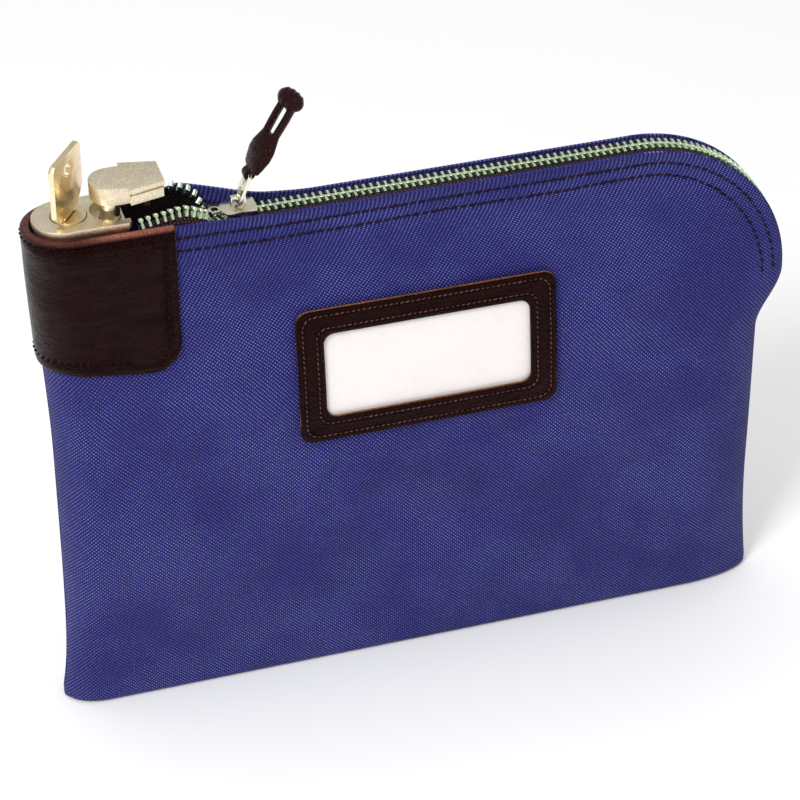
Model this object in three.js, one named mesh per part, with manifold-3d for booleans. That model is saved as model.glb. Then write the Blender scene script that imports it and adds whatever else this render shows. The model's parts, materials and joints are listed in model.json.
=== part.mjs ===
// A locking night-deposit bag: a laminated-nylon pouch with a metal zipper, a leather lock patch,
// a seven-pin lock whose head presses down over the parked slider, and a leather-framed label.
// Millimetres, +Z up, the lock at -X, the front face towards -Y, the origin in the middle of the base.
import * as THREE from "three";
import { mergeVertices } from "three/addons/utils/BufferGeometryUtils.js";
import Module from "manifold-3d";

const wasm = await Module();
wasm.setup();

// ---- Driving dimensions -------------------------------------------------------------------------
const GAP = 0.3; // between pieces that touch
const SEAM_GAP = 0.3; // from the middle plane to each panel's sewn edge

// The pouch
const BAG_LEFT = -137.3; // left edge at half height
const BAG_RIGHT = 134.5; // right seam at half height
const BAG_TOP = 203; // rim of the fabric over the closed zipper
const FABRIC = 1.2; // laminated nylon with its backing
const BASE_HALF = 10; // half thickness of the pouch where it stands
const BELLY_HALF = 15.4; // half thickness at half height
const RIM_HALF = 7; // half thickness at the rim over the closed zipper
const MOUTH_LIFT = 5.5; // how much higher the rim stands beside the lock
const BASE_FOLD = 3; // radius of the fold between the base and a face
const BASE_LAP = 2; // how far the front panel laps past the middle of the base
const CORNER_RADIUS = 58.5; // top right corner, at the rim
const CORNER_BULGE = 6.5; // how far that corner stands out past the seam
const LEFT_FLARE = 3.2; // how far the left edge leans out at the rim
const SIDE_LEFT = 15; // depth of the rounded left side
const SIDE_RIGHT = 30; // depth of the rounded right side

// The leather
const LEATHER = 1.6;
const LINING = 0.7;
const PATCH_RIGHT = -91.5;
const PATCH_HEIGHT = 51.5; // from the rim down
const PATCH_RISE = 3.5; // how much its lower edge climbs towards the side
const PATCH_CORNER = 11;
const PATCH_LIP = 0.6; // stands above the fabric's rim

// The label
const LABEL_X = -0.5;
const LABEL_DROP = 66; // from the rim to its middle
const LABEL_WIDTH = 98.5;
const LABEL_HEIGHT = 54.2;
const LABEL_FRAME_SIDE = 10.3;
const LABEL_FRAME_TOP = 10.3;
const LABEL_CORNER = 5;
const LABEL_HELD = 3.5; // how far the card and window reach under the frame
const CARD = 0.4;
const WINDOW = 0.3;
const FRAME_LEATHER = 1.3;

// The zipper
const CHAIN_DROP = 1; // middle of the teeth below the fabric's rim
const ROW_INNER = 0.15; // teeth, from the middle of the closed chain
const ROW_OUTER = 2.85;
const ROW_HEIGHT = 2.6;
const TAPE = 0.8;
const TAPE_DEPTH = 10; // how far the tape reaches down inside the rim
const TAPE_GAP = 0.8; // to the fabric
const MOUTH_START = -103.5; // where the tapes begin, beside the lock
// The open stretch from the slider to the lock: x, how far the row stands out, how far it rises
const OPEN_ROW = [[-63, 0, 0], [-68, 0.4, 0], [-72, 1.4, 0], [-75.5, 2.8, 0.5], [-80, 4.6, 4.4], [-86, 5.9, 7.8], [-93, 6.9, 9.2], [MOUTH_START, 7.7, 8]];
const ZIP_END_ANGLE = -6; // degrees, where the chain ends round the corner

// The slider and its pull
const SLIDER_X = -65.5;
const SLIDER_LENGTH = 12.4;
const SLIDER_NOSE = 5.2; // half width
const SLIDER_TAIL = 4.4; // half width
const SLIDER_PLATE = 1.3;
const CROWN_HALF = 2.7;
const CROWN_WIDTH = 1.8;
const CROWN_BAR = 1.2;
const EYE_REACH = 4.6; // locking eye, from the slider's nose
const EYE_RADIUS = 1.4;
const EYE_WALL = 0.8;
const TAB_LENGTH = 11.5; // from bar to bar
const TAB_WIDTH = 6;
const TAB_THICK = 1.2;
const TAB_ANGLE = 69; // degrees above +X
const STRAP_ANGLE = 59;
const STRAP_LENGTH = 33;
const STRAP_WIDTH = 12.5;
const STRAP_NECK = 6;
const STRAP_THICK = 3.6;
const KNOB_RADIUS = 4.4;

// The lock
const PLATE_PROUD = 9; // above the fabric's rim
const PLATE_THICK = 2.3;
const LOCK_HALF = 11;
const LOCK_RIGHT = -105.5;
const LOCK_DEPTH = 31;
const BODY_STEP = 0.8; // the body is this much smaller all round than its plate
const PLUG_X = -125.5;
const PLUG_RADIUS = 6.2;
const PLUG_LENGTH = 25;
const PLUG_PROUD = 0.3;
const KEY_ANGLE = 53.5; // degrees from +X, as the key is turned
const PIN_COUNT = 7;
const PIN_PITCH = 2.9;
const PIN_RADIUS = 0.95;
const PIN_DROP = 4; // from the plate's top to the highest pin
const DRIVER_LENGTH = 2;
const CHAMBER_SPRING = 2.6; // room for a driver's spring
const CHAMBER_WALL = 0.7;
const BLADE_BACK = -4.4;
const BLADE_FRONT = 3;
const BLADE_LENGTH = 25;
const KEY_THICK = 2;
const BOW_WIDTH = 21.8;
const BOW_HEIGHT = 23;
const CAM_RADIUS = 4.6;
const CAM_THICK = 0.9;
const DRIVE_RADIUS = 3.2; // the cam's drive pin, from the plug's axis
const DRIVE_ANGLE = -100.75; // degrees, as the key is turned
const DRIVE_PIN = 0.9;
const BOLT_THICK = 2;
const BOLT_HALF = 2;
const BOLT_CATCH = 1; // how far the thrown bolt reaches into the post
const BOLT_THROW = 1.97; // from the turned key back to its way in and out
const COVER = 1.7;
const SCREW_RADIUS = 1.1;
const SCREW_HEAD = 2;

// The pop-up head
const POST_X = -111;
const POST_RADIUS = 3.6;
const POST_HOLLOW = 2.3;
const HEAD_X = -110.3; // middle of its round end
const HEAD_RADIUS = 7.5;
const HEAD_STEP_X = -105.6;
const HEAD_RIGHT = -92.5;
const HEAD_WIDE = 9.6; // half width at the step
const HEAD_NARROW = 6.8; // half width at the right
const HEAD_PROUD = 12; // above the lock's plate
const HEAD_THICK = 6.4;
const HEAD_LIP = 1.7;
const HEAD_GROOVE = 1.1;
const HEAD_TRAVEL = 8.5;
const HOOK = 2;
const PARK_TRAVEL = 23.6; // from the slider's place back under the head
const LOCK_PIN_RADIUS = 1;

// Sizes that follow from those
const CORNER_X = BAG_RIGHT + CORNER_BULGE - CORNER_RADIUS; // middle of the round corner
const CORNER_Z = BAG_TOP - CORNER_RADIUS;
const PATCH_BOTTOM = BAG_TOP - PATCH_HEIGHT;
const LABEL_Z = BAG_TOP - LABEL_DROP;
const CHAIN_Z = BAG_TOP - CHAIN_DROP;
const PLATE_TOP = BAG_TOP + PLATE_PROUD;
const PIN_TOP = PLATE_TOP - PIN_DROP;
const HEAD_TOP = PLATE_TOP + HEAD_PROUD;
const PLUG_BORE = PLUG_RADIUS + GAP;
const CHAMBER_END = PLUG_BORE + DRIVER_LENGTH + CHAMBER_SPRING; // outer end of the pin chambers
// Half thickness of the pouch at the rim beside the lock, which the lock fills
const MOUTH_HALF = FABRIC + Math.max(LOCK_HALF + 0.2 + LINING + GAP, CHAMBER_END + CHAMBER_WALL + 0.4);

// ---- Materials ----------------------------------------------------------------------------------
const finish = (color, roughness, metalness = 0) => new THREE.MeshStandardMaterial({ color, roughness, metalness });
const nylon = () => finish(0x37367a, 0.85);
const binding = () => finish(0x1c1b3c, 0.9);
const leather = () => finish(0x24110f, 0.45);
const lining = () => finish(0x7d3a2c, 0.6);
const tapeCloth = () => finish(0x1e1214, 0.95);
const brassTeeth = () => finish(0xb9c3a0, 0.35, 1);
const satinMetal = () => finish(0xc3ab90, 0.35, 1);
const brass = () => finish(0xc9a25a, 0.3, 1);
const springSteel = () => finish(0x9a9da0, 0.35, 1);
const card = () => finish(0xf2eeea, 0.9);
const vinyl = () => finish(0xf4f6f8, 0.15);

// ---- Geometry helpers ---------------------------------------------------------------------------
const radians = THREE.MathUtils.degToRad;
const lerp = THREE.MathUtils.lerp;
const clamp01 = (t) => Math.min(1, Math.max(0, t));
const smooth = (from, to, value) => THREE.MathUtils.smoothstep((value - from) / (to - from), 0, 1);

function positionsOnly(geometry) {
  const bare = geometry.index ? geometry.clone() : geometry;
  bare.deleteAttribute("normal");
  bare.deleteAttribute("uv");
  return mergeVertices(bare, 1e-4);
}

function toSolid(geometry) {
  const bare = positionsOnly(geometry);
  const vertProperties = new Float32Array(bare.attributes.position.array);
  const triVerts = new Uint32Array(bare.index.array);
  return new wasm.Manifold(new wasm.Mesh({ numProp: 3, vertProperties, triVerts }));
}

function fromSolid(solid) {
  const mesh = solid.getMesh();
  const geometry = new THREE.BufferGeometry();
  geometry.setAttribute("position", new THREE.BufferAttribute(new Float32Array(mesh.vertProperties), 3));
  geometry.setIndex(new THREE.BufferAttribute(new Uint32Array(mesh.triVerts), 1));
  return geometry;
}

function join(...geometries) {
  return fromSolid(geometries.map(toSolid).reduce((sum, solid) => sum.add(solid)));
}

function cut(geometry, ...tools) {
  return fromSolid(tools.map(toSolid).reduce((rest, tool) => rest.subtract(tool), toSolid(geometry)));
}

function box(x0, x1, y0, y1, z0, z1) {
  return new THREE.BoxGeometry(x1 - x0, y1 - y0, z1 - z0).translate((x0 + x1) / 2, (y0 + y1) / 2, (z0 + z1) / 2);
}

function post(x, y, z0, z1, radius, sides = 24) {
  return new THREE.CylinderGeometry(radius, radius, z1 - z0, sides).rotateX(Math.PI / 2).translate(x, y, (z0 + z1) / 2);
}

// A rod along a horizontal direction, from one distance to another from a point
function rod(x, y, z, angle, from, to, radius, sides = 10) {
  const shape = new THREE.CylinderGeometry(radius, radius, to - from, sides).rotateZ(-Math.PI / 2);
  return shape.translate((from + to) / 2, 0, 0).rotateZ(radians(angle)).translate(x, y, z);
}

function prism(shape, z0, z1, curveSegments = 8) {
  return new THREE.ExtrudeGeometry(shape, { depth: z1 - z0, bevelEnabled: false, curveSegments }).translate(0, 0, z0);
}

function outline(points) {
  return new THREE.Shape(points.map(([x, y]) => new THREE.Vector2(x, y)));
}

// A closed wall between two grids of points that have the same rows and columns
function shell(outer, inner, wraps = false) {
  const rows = outer.length;
  const columns = outer[0].length;
  const points = [...outer.flat(), ...inner.flat()];
  const at = (side, row, column) => (side * rows + row) * columns + (column % columns);
  const faces = [];
  const quad = (a, b, c, d) => faces.push(a, b, c, a, c, d);
  const last = wraps ? columns : columns - 1;
  for (let r = 0; r < rows - 1; r++) {
    for (let c = 0; c < last; c++) {
      quad(at(0, r, c), at(0, r, c + 1), at(0, r + 1, c + 1), at(0, r + 1, c));
      quad(at(1, r, c), at(1, r + 1, c), at(1, r + 1, c + 1), at(1, r, c + 1));
    }
    if (wraps) continue;
    quad(at(0, r, 0), at(0, r + 1, 0), at(1, r + 1, 0), at(1, r, 0));
    quad(at(0, r + 1, last), at(0, r, last), at(1, r, last), at(1, r + 1, last));
  }
  for (let c = 0; c < last; c++) {
    const end = rows - 1;
    quad(at(0, 0, c + 1), at(0, 0, c), at(1, 0, c), at(1, 0, c + 1));
    quad(at(0, end, c), at(0, end, c + 1), at(1, end, c + 1), at(1, end, c));
  }
  return facingOut(points, faces);
}

function facingOut(points, faces) {
  let volume = 0;
  for (let i = 0; i < faces.length; i += 3) {
    const [a, b, c] = [points[faces[i]], points[faces[i + 1]], points[faces[i + 2]]];
    volume += a.dot(new THREE.Vector3().crossVectors(b, c));
  }
  const index = volume > 0 ? faces : faces.map((_, i) => faces[i - (i % 3) + 2 - (i % 3)]);
  const geometry = new THREE.BufferGeometry().setFromPoints(points);
  geometry.setIndex(index);
  return geometry;
}

class Helix extends THREE.Curve {
  constructor(radius, length, turns) {
    super();
    Object.assign(this, { radius, length, turns });
  }
  getPoint(t) {
    const angle = 2 * Math.PI * this.turns * t;
    return new THREE.Vector3(this.radius * Math.cos(angle), this.radius * Math.sin(angle), this.length * t);
  }
}

function coil(radius, length, turns, wire, stepsPerTurn = 8, sides = 5) {
  const section = new THREE.Shape();
  section.absarc(0, 0, wire / 2, 0, 2 * Math.PI, true);
  const extrudePath = new Helix(radius, length, turns);
  const settings = { steps: Math.round(turns * stepsPerTurn), curveSegments: sides, bevelEnabled: false, extrudePath };
  return new THREE.ExtrudeGeometry(section, settings);
}

// ---- The pouch's surface ------------------------------------------------------------------------
const SHOULDER = CORNER_Z - 28; // the right seam steps out from here up to the corner

function leftEdge(z) {
  const cornerIn = cornerInset(z);
  return BAG_LEFT - 1.8 * Math.exp(-z / 14) - LEFT_FLARE * smooth(BAG_TOP - 93, BAG_TOP, z) + cornerIn;
}

function rightEdge(z) {
  if (z > CORNER_Z) {
    return CORNER_X + Math.sqrt(Math.max(0, CORNER_RADIUS ** 2 - (z - CORNER_Z) ** 2));
  }
  const flare = 3.4 * (1 - clamp01(z / 55)) ** 2;
  return lerp(BAG_RIGHT + flare, CORNER_X + CORNER_RADIUS, smooth(SHOULDER, CORNER_Z - 1, z)) - cornerInset(z);
}

// The two bottom corners are rounded by this much
function cornerInset(z) {
  const radius = 4;
  const below = Math.max(0, radius - z);
  return radius - Math.sqrt(radius ** 2 - below ** 2 * 0.98);
}

const mouthOpening = (x) => 1 - smooth(-94, -55, x);
const rimHalf = (x) => lerp(RIM_HALF, MOUTH_HALF, mouthOpening(x));
const rimLift = (x, z) => MOUTH_LIFT * (1 - smooth(-94, -52, x)) * smooth(BAG_TOP - 60, BAG_TOP, z);
const rimZ = (x) => BAG_TOP + rimLift(x, BAG_TOP);

function halfThickness(x, z) {
  const low = lerp(BASE_HALF, BELLY_HALF, Math.sin((Math.PI / 2) * clamp01(z / (BAG_TOP - 108))));
  return lerp(low, rimHalf(x), smooth(BAG_TOP - 91, BAG_TOP, z));
}

// Along the top right corner the panel's side edge is the zipper's rim and stays open
const edgeHalf = (z) => lerp(SEAM_GAP, RIM_HALF, smooth(SHOULDER, CORNER_Z, z));

// A point of the pouch: across 0..1 from left to right, at height z, and inset into the wall
const LEFT_SHARE = 0.2;
const RIGHT_SHARE = 0.2;

function pouchPoint(side, across, z, inset) {
  const seam = 1 - smooth(SHOULDER, CORNER_Z, z);
  const left = leftEdge(z) + inset;
  const right = rightEdge(z) - inset * seam;
  const leftDepth = SIDE_LEFT - inset;
  const rightDepth = SIDE_RIGHT - inset * seam;
  let x;
  let closing = 1;
  let edge = SEAM_GAP;
  if (across < LEFT_SHARE) {
    const turn = (across / LEFT_SHARE) * (Math.PI / 2);
    x = left + leftDepth * (1 - Math.cos(turn));
    closing = Math.sin(turn);
  } else if (across > 1 - RIGHT_SHARE) {
    const turn = ((1 - across) / RIGHT_SHARE) * (Math.PI / 2);
    x = right - rightDepth * (1 - Math.cos(turn));
    closing = Math.sin(turn);
    edge = edgeHalf(z) - inset * (1 - seam);
  } else {
    x = lerp(left + leftDepth, right - rightDepth, (across - LEFT_SHARE) / (1 - LEFT_SHARE - RIGHT_SHARE));
  }
  const half = lerp(edge, halfThickness(x, z) - inset, closing);
  return { x, half, closing, y: side * half, z: z + rimLift(x, z) };
}

const onPouch = (side, across, z, inset) => {
  const p = pouchPoint(side, across, z, inset);
  return new THREE.Vector3(p.x, p.y, p.z);
};

// Heights of the rows of a panel above its fold, closer together round the corner
function wallHeights() {
  const low = 18;
  const heights = [8, low, ...[1, 2, 3, 4, 5].map((i) => lerp(low, SHOULDER, i / 5)), SHOULDER + 9, SHOULDER + 18, CORNER_Z];
  const steps = 9;
  for (let i = 1; i <= steps; i++) {
    heights.push(CORNER_Z + CORNER_RADIUS * Math.sin((i / steps) * (Math.PI / 2)));
  }
  return heights;
}

function panelColumns() {
  const columns = [];
  const roundSteps = 6;
  const flatSteps = 14;
  for (let i = 0; i < roundSteps; i++) columns.push((LEFT_SHARE * i) / roundSteps);
  for (let i = 0; i <= flatSteps; i++) columns.push(lerp(LEFT_SHARE, 1 - RIGHT_SHARE, i / flatSteps));
  for (let i = 1; i <= roundSteps; i++) columns.push(1 - RIGHT_SHARE + (RIGHT_SHARE * i) / roundSteps);
  return columns;
}

// One face of the pouch with its half of the base; the front panel laps past the middle
function panel(side) {
  const columns = panelColumns();
  const lap = side < 0 ? -BASE_LAP : BASE_LAP + 2 * GAP;
  const grid = (inset) => {
    const foot = columns.map((across) => pouchPoint(side, across, BASE_FOLD, inset));
    const fold = foot.map((p) => Math.min(BASE_FOLD, 0.6 * p.half));
    const baseRow = (share) =>
      foot.map((p, i) => {
        const start = lerp(SEAM_GAP, lap, p.closing);
        return new THREE.Vector3(p.x, side * lerp(start, p.half - fold[i], share), inset);
      });
    const bend = foot.map((p, i) => {
      const slack = fold[i] * (1 - Math.SQRT1_2);
      return new THREE.Vector3(p.x, side * (p.half - slack), inset + (BASE_FOLD - inset) * (1 - Math.SQRT1_2));
    });
    const wall = [BASE_FOLD, ...wallHeights()].map((z) => columns.map((across) => onPouch(side, across, z, inset)));
    return [baseRow(0), baseRow(0.5), baseRow(1), bend, ...wall];
  };
  return shell(grid(0), grid(FABRIC));
}

// ---- Pieces of the pouch ------------------------------------------------------------------------
// The bound seam allowance inside the left side, the base and the right side
function seamBinding() {
  const width = 6;
  const thick = 1.8;
  const clear = FABRIC + 0.6;
  const at = (z, inward) => [leftEdge(z) + clear + inward, rightEdge(z) - clear - inward];
  const heights = [clear + 4, 12, 20, ...[1, 2, 3, 4, 5].map((i) => lerp(20, SHOULDER - 2, i / 5))];
  const leftTop = PATCH_BOTTOM;
  const outerLeft = heights.map((z) => [at(z, 0)[0], z]);
  const outerRight = heights.map((z) => [at(z, 0)[1], z]);
  const innerLeft = heights.slice(1).map((z) => [at(z, width)[0], z]);
  const innerRight = heights.slice(1).map((z) => [at(z, width)[1], z]);
  const path = [
    [at(leftTop, width)[0], leftTop],
    [at(leftTop, 0)[0], leftTop],
    ...outerLeft.reverse(),
    [at(clear, 3)[0], clear],
    [at(clear, 3)[1], clear],
    ...outerRight,
    ...innerRight.reverse(),
    [at(clear + width, width + 2)[1], clear + width],
    [at(clear + width, width + 2)[0], clear + width],
    ...innerLeft,
  ];
  return prism(outline(path), -thick / 2, thick / 2).rotateX(Math.PI / 2);
}

// The leather patch wraps from the front round the left side to the back
function wrapPoint(w, z, inset) {
  const side = w < 0 ? -1 : 1;
  const share = Math.abs(w);
  if (share <= 0.5) return onPouch(side, LEFT_SHARE * share * 2, z, inset);
  const x = lerp(leftEdge(z) + SIDE_LEFT, PATCH_RIGHT, (share - 0.5) * 2);
  return new THREE.Vector3(x, side * (halfThickness(x, z) - inset), z + rimLift(x, z));
}

function patchBottom(x) {
  const into = clamp01((x - (PATCH_RIGHT - PATCH_CORNER)) / PATCH_CORNER);
  const climb = PATCH_RISE * smooth(PATCH_RIGHT - 8, LOCK_LEFT, x);
  return PATCH_BOTTOM + climb + PATCH_CORNER * (1 - Math.sqrt(1 - into ** 2));
}

function lockPatch() {
  const shares = [1, 0.985, 0.94, 0.88, 0.82, 0.76, 0.63, 0.5, 0.42, 0.34, 0.26, 0.18, 0.09];
  const columns = [...shares.map((w) => -w), 0, ...[...shares].reverse()];
  const rows = 8;
  const near = -(GAP + 0.1);
  const grid = (inset) =>
    Array.from({ length: rows + 1 }, (_, row) =>
      columns.map((w) => {
        const x = wrapPoint(w, BAG_TOP, inset).x;
        const z = lerp(patchBottom(x), BAG_TOP, row / rows);
        const p = wrapPoint(w, z, inset);
        if (row === rows) p.z += PATCH_LIP;
        return p;
      }),
    );
  return shell(grid(near - LEATHER), grid(near));
}

// The thinner leather that faces the inside of the front wall beside the lock
function lockLining() {
  const bottom = BAG_TOP - 18;
  const start = leftEdge(bottom) + SIDE_LEFT;
  const end = 0.5 + (0.5 * (MOUTH_START - 1 - start)) / (PATCH_RIGHT - start);
  const columns = [-end, -(end + 0.5) / 2, -0.5, -0.4, -0.3, -0.2, -0.1, -0.03];
  const grid = (inset) =>
    [0, 1, 2, 3, 4].map((row) => columns.map((w) => wrapPoint(w, lerp(bottom, BAG_TOP - 1, row / 4), inset)));
  return shell(grid(FABRIC + GAP), grid(FABRIC + GAP + LINING));
}

// ---- The label ----------------------------------------------------------------------------------
const LABEL_BASE = GAP + 0.1; // card, window and frame are stacked from here
const WINDOW_BASE = LABEL_BASE + CARD + GAP;
const FRAME_BASE = WINDOW_BASE + WINDOW + GAP;

const frontPoint = (x, z, proud) => new THREE.Vector3(x, -(halfThickness(x, z) + proud), z + rimLift(x, z));

// A rectangle with round corners, as a closed loop of points round the label's middle
function roundedLoop(width, height, radius, sideSteps = 6, cornerSteps = 4) {
  const loop = [];
  const corners = [[1, 1, 0], [-1, 1, 90], [-1, -1, 180], [1, -1, 270]];
  corners.forEach(([sx, sz, start], k) => {
    const cx = sx * (width / 2 - radius);
    const cz = sz * (height / 2 - radius);
    for (let i = 0; i <= cornerSteps; i++) {
      const angle = radians(start + (90 * i) / cornerSteps);
      loop.push([LABEL_X + cx + radius * Math.cos(angle), LABEL_Z + cz + radius * Math.sin(angle)]);
    }
    const [nx, nz] = corners[(k + 1) % 4];
    const [next, here] = [[nx * (width / 2 - radius), nz * (height / 2 - radius)], [cx, cz]];
    const out = radians(start + 90);
    for (let i = 1; i < sideSteps; i++) {
      const x = lerp(here[0], next[0], i / sideSteps) + radius * Math.cos(out);
      const z = lerp(here[1], next[1], i / sideSteps) + radius * Math.sin(out);
      loop.push([LABEL_X + x, LABEL_Z + z]);
    }
  });
  return loop;
}

function labelFrame() {
  const openWidth = LABEL_WIDTH - 2 * LABEL_FRAME_SIDE;
  const openHeight = LABEL_HEIGHT - 2 * LABEL_FRAME_TOP;
  const outside = roundedLoop(LABEL_WIDTH, LABEL_HEIGHT, LABEL_CORNER);
  const inside = roundedLoop(openWidth, openHeight, LABEL_CORNER - 1);
  const grid = (proud) =>
    [0, 0.5, 1].map((t) =>
      outside.map(([x, z], i) => frontPoint(lerp(x, inside[i][0], t), lerp(z, inside[i][1], t), proud)),
    );
  return shell(grid(FRAME_BASE + FRAME_LEATHER), grid(FRAME_BASE), true);
}

function labelSheet(base, thick, spare) {
  const width = LABEL_WIDTH - 2 * LABEL_FRAME_SIDE + 2 * (LABEL_HELD + spare);
  const height = LABEL_HEIGHT - 2 * LABEL_FRAME_TOP + 2 * (LABEL_HELD + spare);
  const [across, up] = [10, 5];
  const grid = (proud) =>
    Array.from({ length: up + 1 }, (_, j) =>
      Array.from({ length: across + 1 }, (_, i) =>
        frontPoint(LABEL_X + width * (i / across - 0.5), LABEL_Z + height * (j / up - 0.5), proud),
      ),
    );
  return shell(grid(base + thick), grid(base));
}

// ---- The zipper ---------------------------------------------------------------------------------
const CHAIN_RADIUS = CHAIN_Z - CORNER_Z;
const openRow = new THREE.CatmullRomCurve3(OPEN_ROW.map((p) => new THREE.Vector3(...p)));

// Stations along the chain: x, z, the direction away from the pouch, how far out and up the row stands
function chainStations() {
  const stations = [];
  const openSteps = 14;
  const straightSteps = 12;
  const cornerSteps = 16;
  for (let i = openSteps; i > 0; i--) {
    const p = openRow.getPoint(i / openSteps);
    stations.push({ x: p.x, z: CHAIN_Z, up: [0, 1], out: Math.max(0, p.y), rise: Math.max(0, p.z) });
  }
  for (let i = 0; i < straightSteps; i++) {
    stations.push({ x: lerp(OPEN_ROW[0][0], CORNER_X, i / straightSteps), z: CHAIN_Z, up: [0, 1], out: 0, rise: 0 });
  }
  for (let i = 0; i <= cornerSteps; i++) {
    const angle = radians(lerp(90, ZIP_END_ANGLE, i / cornerSteps));
    const up = [Math.cos(angle), Math.sin(angle)];
    stations.push({ x: CORNER_X + CHAIN_RADIUS * up[0], z: CORNER_Z + CHAIN_RADIUS * up[1], up, out: 0, rise: 0 });
  }
  return stations;
}

const stationPoint = (station, y, height) =>
  new THREE.Vector3(station.x + station.up[0] * height, y, station.z + station.up[1] * height);

function teethRow(side) {
  const stations = chainStations();
  const grid = (top) =>
    stations.map((s) =>
      [ROW_INNER, ROW_OUTER].map((y) => stationPoint(s, side * (y + s.out), s.rise + (top - 0.5) * ROW_HEIGHT)),
    );
  return shell(grid(1), grid(0));
}

// The tape runs from inside the fabric up to the rim and then across to the teeth
function zipperTape(side) {
  const stations = chainStations();
  const grid = (inset) =>
    stations.map((s) => {
      const straight = s.up[0] < 0.01;
      const wall = (straight ? rimHalf(s.x) : RIM_HALF) - FABRIC - TAPE_GAP - inset;
      const rim = straight ? rimZ(s.x) - CHAIN_Z : BAG_TOP - CHAIN_Z;
      const row = ROW_OUTER + GAP + s.out;
      const top = s.rise + TAPE / 2 - inset;
      const bend = Math.min(rim - 1.5, top);
      return [
        stationPoint(s, side * wall, rim - TAPE_DEPTH),
        stationPoint(s, side * wall, bend - 0.6),
        stationPoint(s, side * lerp(wall, row, 0.3), lerp(bend, top, 0.4)),
        stationPoint(s, side * row, top),
      ];
    });
  return shell(grid(0), grid(TAPE));
}

function zipperEndStop() {
  const angle = radians(ZIP_END_ANGLE - 2.2);
  const stop = box(-1.6, 1.6, -ROW_OUTER, ROW_OUTER, -1.1, 1.1);
  const x = CORNER_X + CHAIN_RADIUS * Math.cos(angle);
  const z = CORNER_Z + CHAIN_RADIUS * Math.sin(angle);
  return stop.rotateY(-angle).translate(x, 0, z);
}

// ---- The slider and its pull --------------------------------------------------------------------
const CHANNEL_HALF = ROW_HEIGHT / 2 + GAP;
const SLIDER_TOP = CHAIN_Z + CHANNEL_HALF + SLIDER_PLATE;
const CROWN_Z = SLIDER_TOP + 1.9; // the pull's bar turns here
const CROWN_TOP = CROWN_Z + TAB_THICK / 2 + GAP + CROWN_BAR;

function sliderOutline() {
  const nose = -SLIDER_LENGTH / 2;
  const tail = SLIDER_LENGTH / 2;
  return outline([
    [nose, -2.6], [nose + 1.2, -SLIDER_NOSE + 0.4], [nose + 3, -SLIDER_NOSE], [-0.5, -SLIDER_TAIL - 0.2],
    [tail - 0.6, -SLIDER_TAIL], [tail, -SLIDER_TAIL + 0.7], [tail, SLIDER_TAIL - 0.7], [tail - 0.6, SLIDER_TAIL],
    [-0.5, SLIDER_TAIL + 0.2], [nose + 3, SLIDER_NOSE], [nose + 1.2, SLIDER_NOSE - 0.4], [nose, 2.6],
  ]);
}

function sliderBody() {
  const nose = -SLIDER_LENGTH / 2;
  const tail = SLIDER_LENGTH / 2;
  const floor = CHAIN_Z - CHANNEL_HALF;
  const roof = CHAIN_Z + CHANNEL_HALF;
  const slot = TAPE / 2 + GAP;
  const plates = [prism(sliderOutline(), floor - SLIDER_PLATE, floor), prism(sliderOutline(), roof, SLIDER_TOP)];
  const flange = (side, z0, z1) => {
    const [y0, y1] = [SLIDER_TAIL - 0.9, SLIDER_TAIL];
    return box(-0.5, tail - 0.6, Math.min(side * y0, side * y1), Math.max(side * y0, side * y1), z0, z1);
  };
  const flanges = [-1, 1].flatMap((side) => [
    flange(side, floor - 0.1, CHAIN_Z - slot),
    flange(side, CHAIN_Z + slot, roof + 0.1),
  ]);
  const wedge = prism(outline([[nose + 0.2, -0.45], [nose + 1.4, -0.6], [nose + 3.2, 0], [nose + 1.4, 0.6], [nose + 0.2, 0.45]]), floor - 0.1, roof + 0.1);
  const crown = cut(
    box(-CROWN_HALF, CROWN_HALF, -CROWN_WIDTH / 2, CROWN_WIDTH / 2, roof + 0.2, CROWN_TOP),
    box(-CROWN_HALF + CROWN_BAR, CROWN_HALF - CROWN_BAR, -CROWN_WIDTH, CROWN_WIDTH, SLIDER_TOP, CROWN_TOP - CROWN_BAR),
  );
  const eyeX = nose - EYE_REACH + EYE_RADIUS + EYE_WALL;
  const eye = join(
    post(eyeX, 0, roof, SLIDER_TOP, EYE_RADIUS + EYE_WALL, 20),
    box(eyeX, nose + 1, -EYE_RADIUS - 0.3, EYE_RADIUS + 0.3, roof, SLIDER_TOP),
  );
  const body = cut(join(...plates, ...flanges, wedge, crown, eye), post(eyeX, 0, roof - 1, SLIDER_TOP + 1, EYE_RADIUS, 16));
  return body.translate(SLIDER_X, 0, 0);
}

// The metal tab stands up from its lower bar, which is at the origin
function pullTab() {
  const half = TAB_WIDTH / 2;
  const end = TAB_LENGTH + 0.7;
  const shape = outline([[-half, -0.6], [half, -0.6], [half, end - 1.2], [half - 1.2, end], [-half + 1.2, end], [-half, end - 1.2]]);
  const slot = (from, to, width) =>
    new THREE.Path([[-width, from], [width, from], [width, to], [-width, to]].map(([y, z]) => new THREE.Vector2(y, z)));
  shape.holes.push(slot(0.6, 5.4, CROWN_WIDTH / 2 + 0.6), slot(TAB_LENGTH - 2.7, TAB_LENGTH - 0.7, 2.2));
  return prism(shape, -TAB_THICK / 2, TAB_THICK / 2).rotateX(Math.PI / 2).rotateZ(Math.PI / 2);
}

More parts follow.
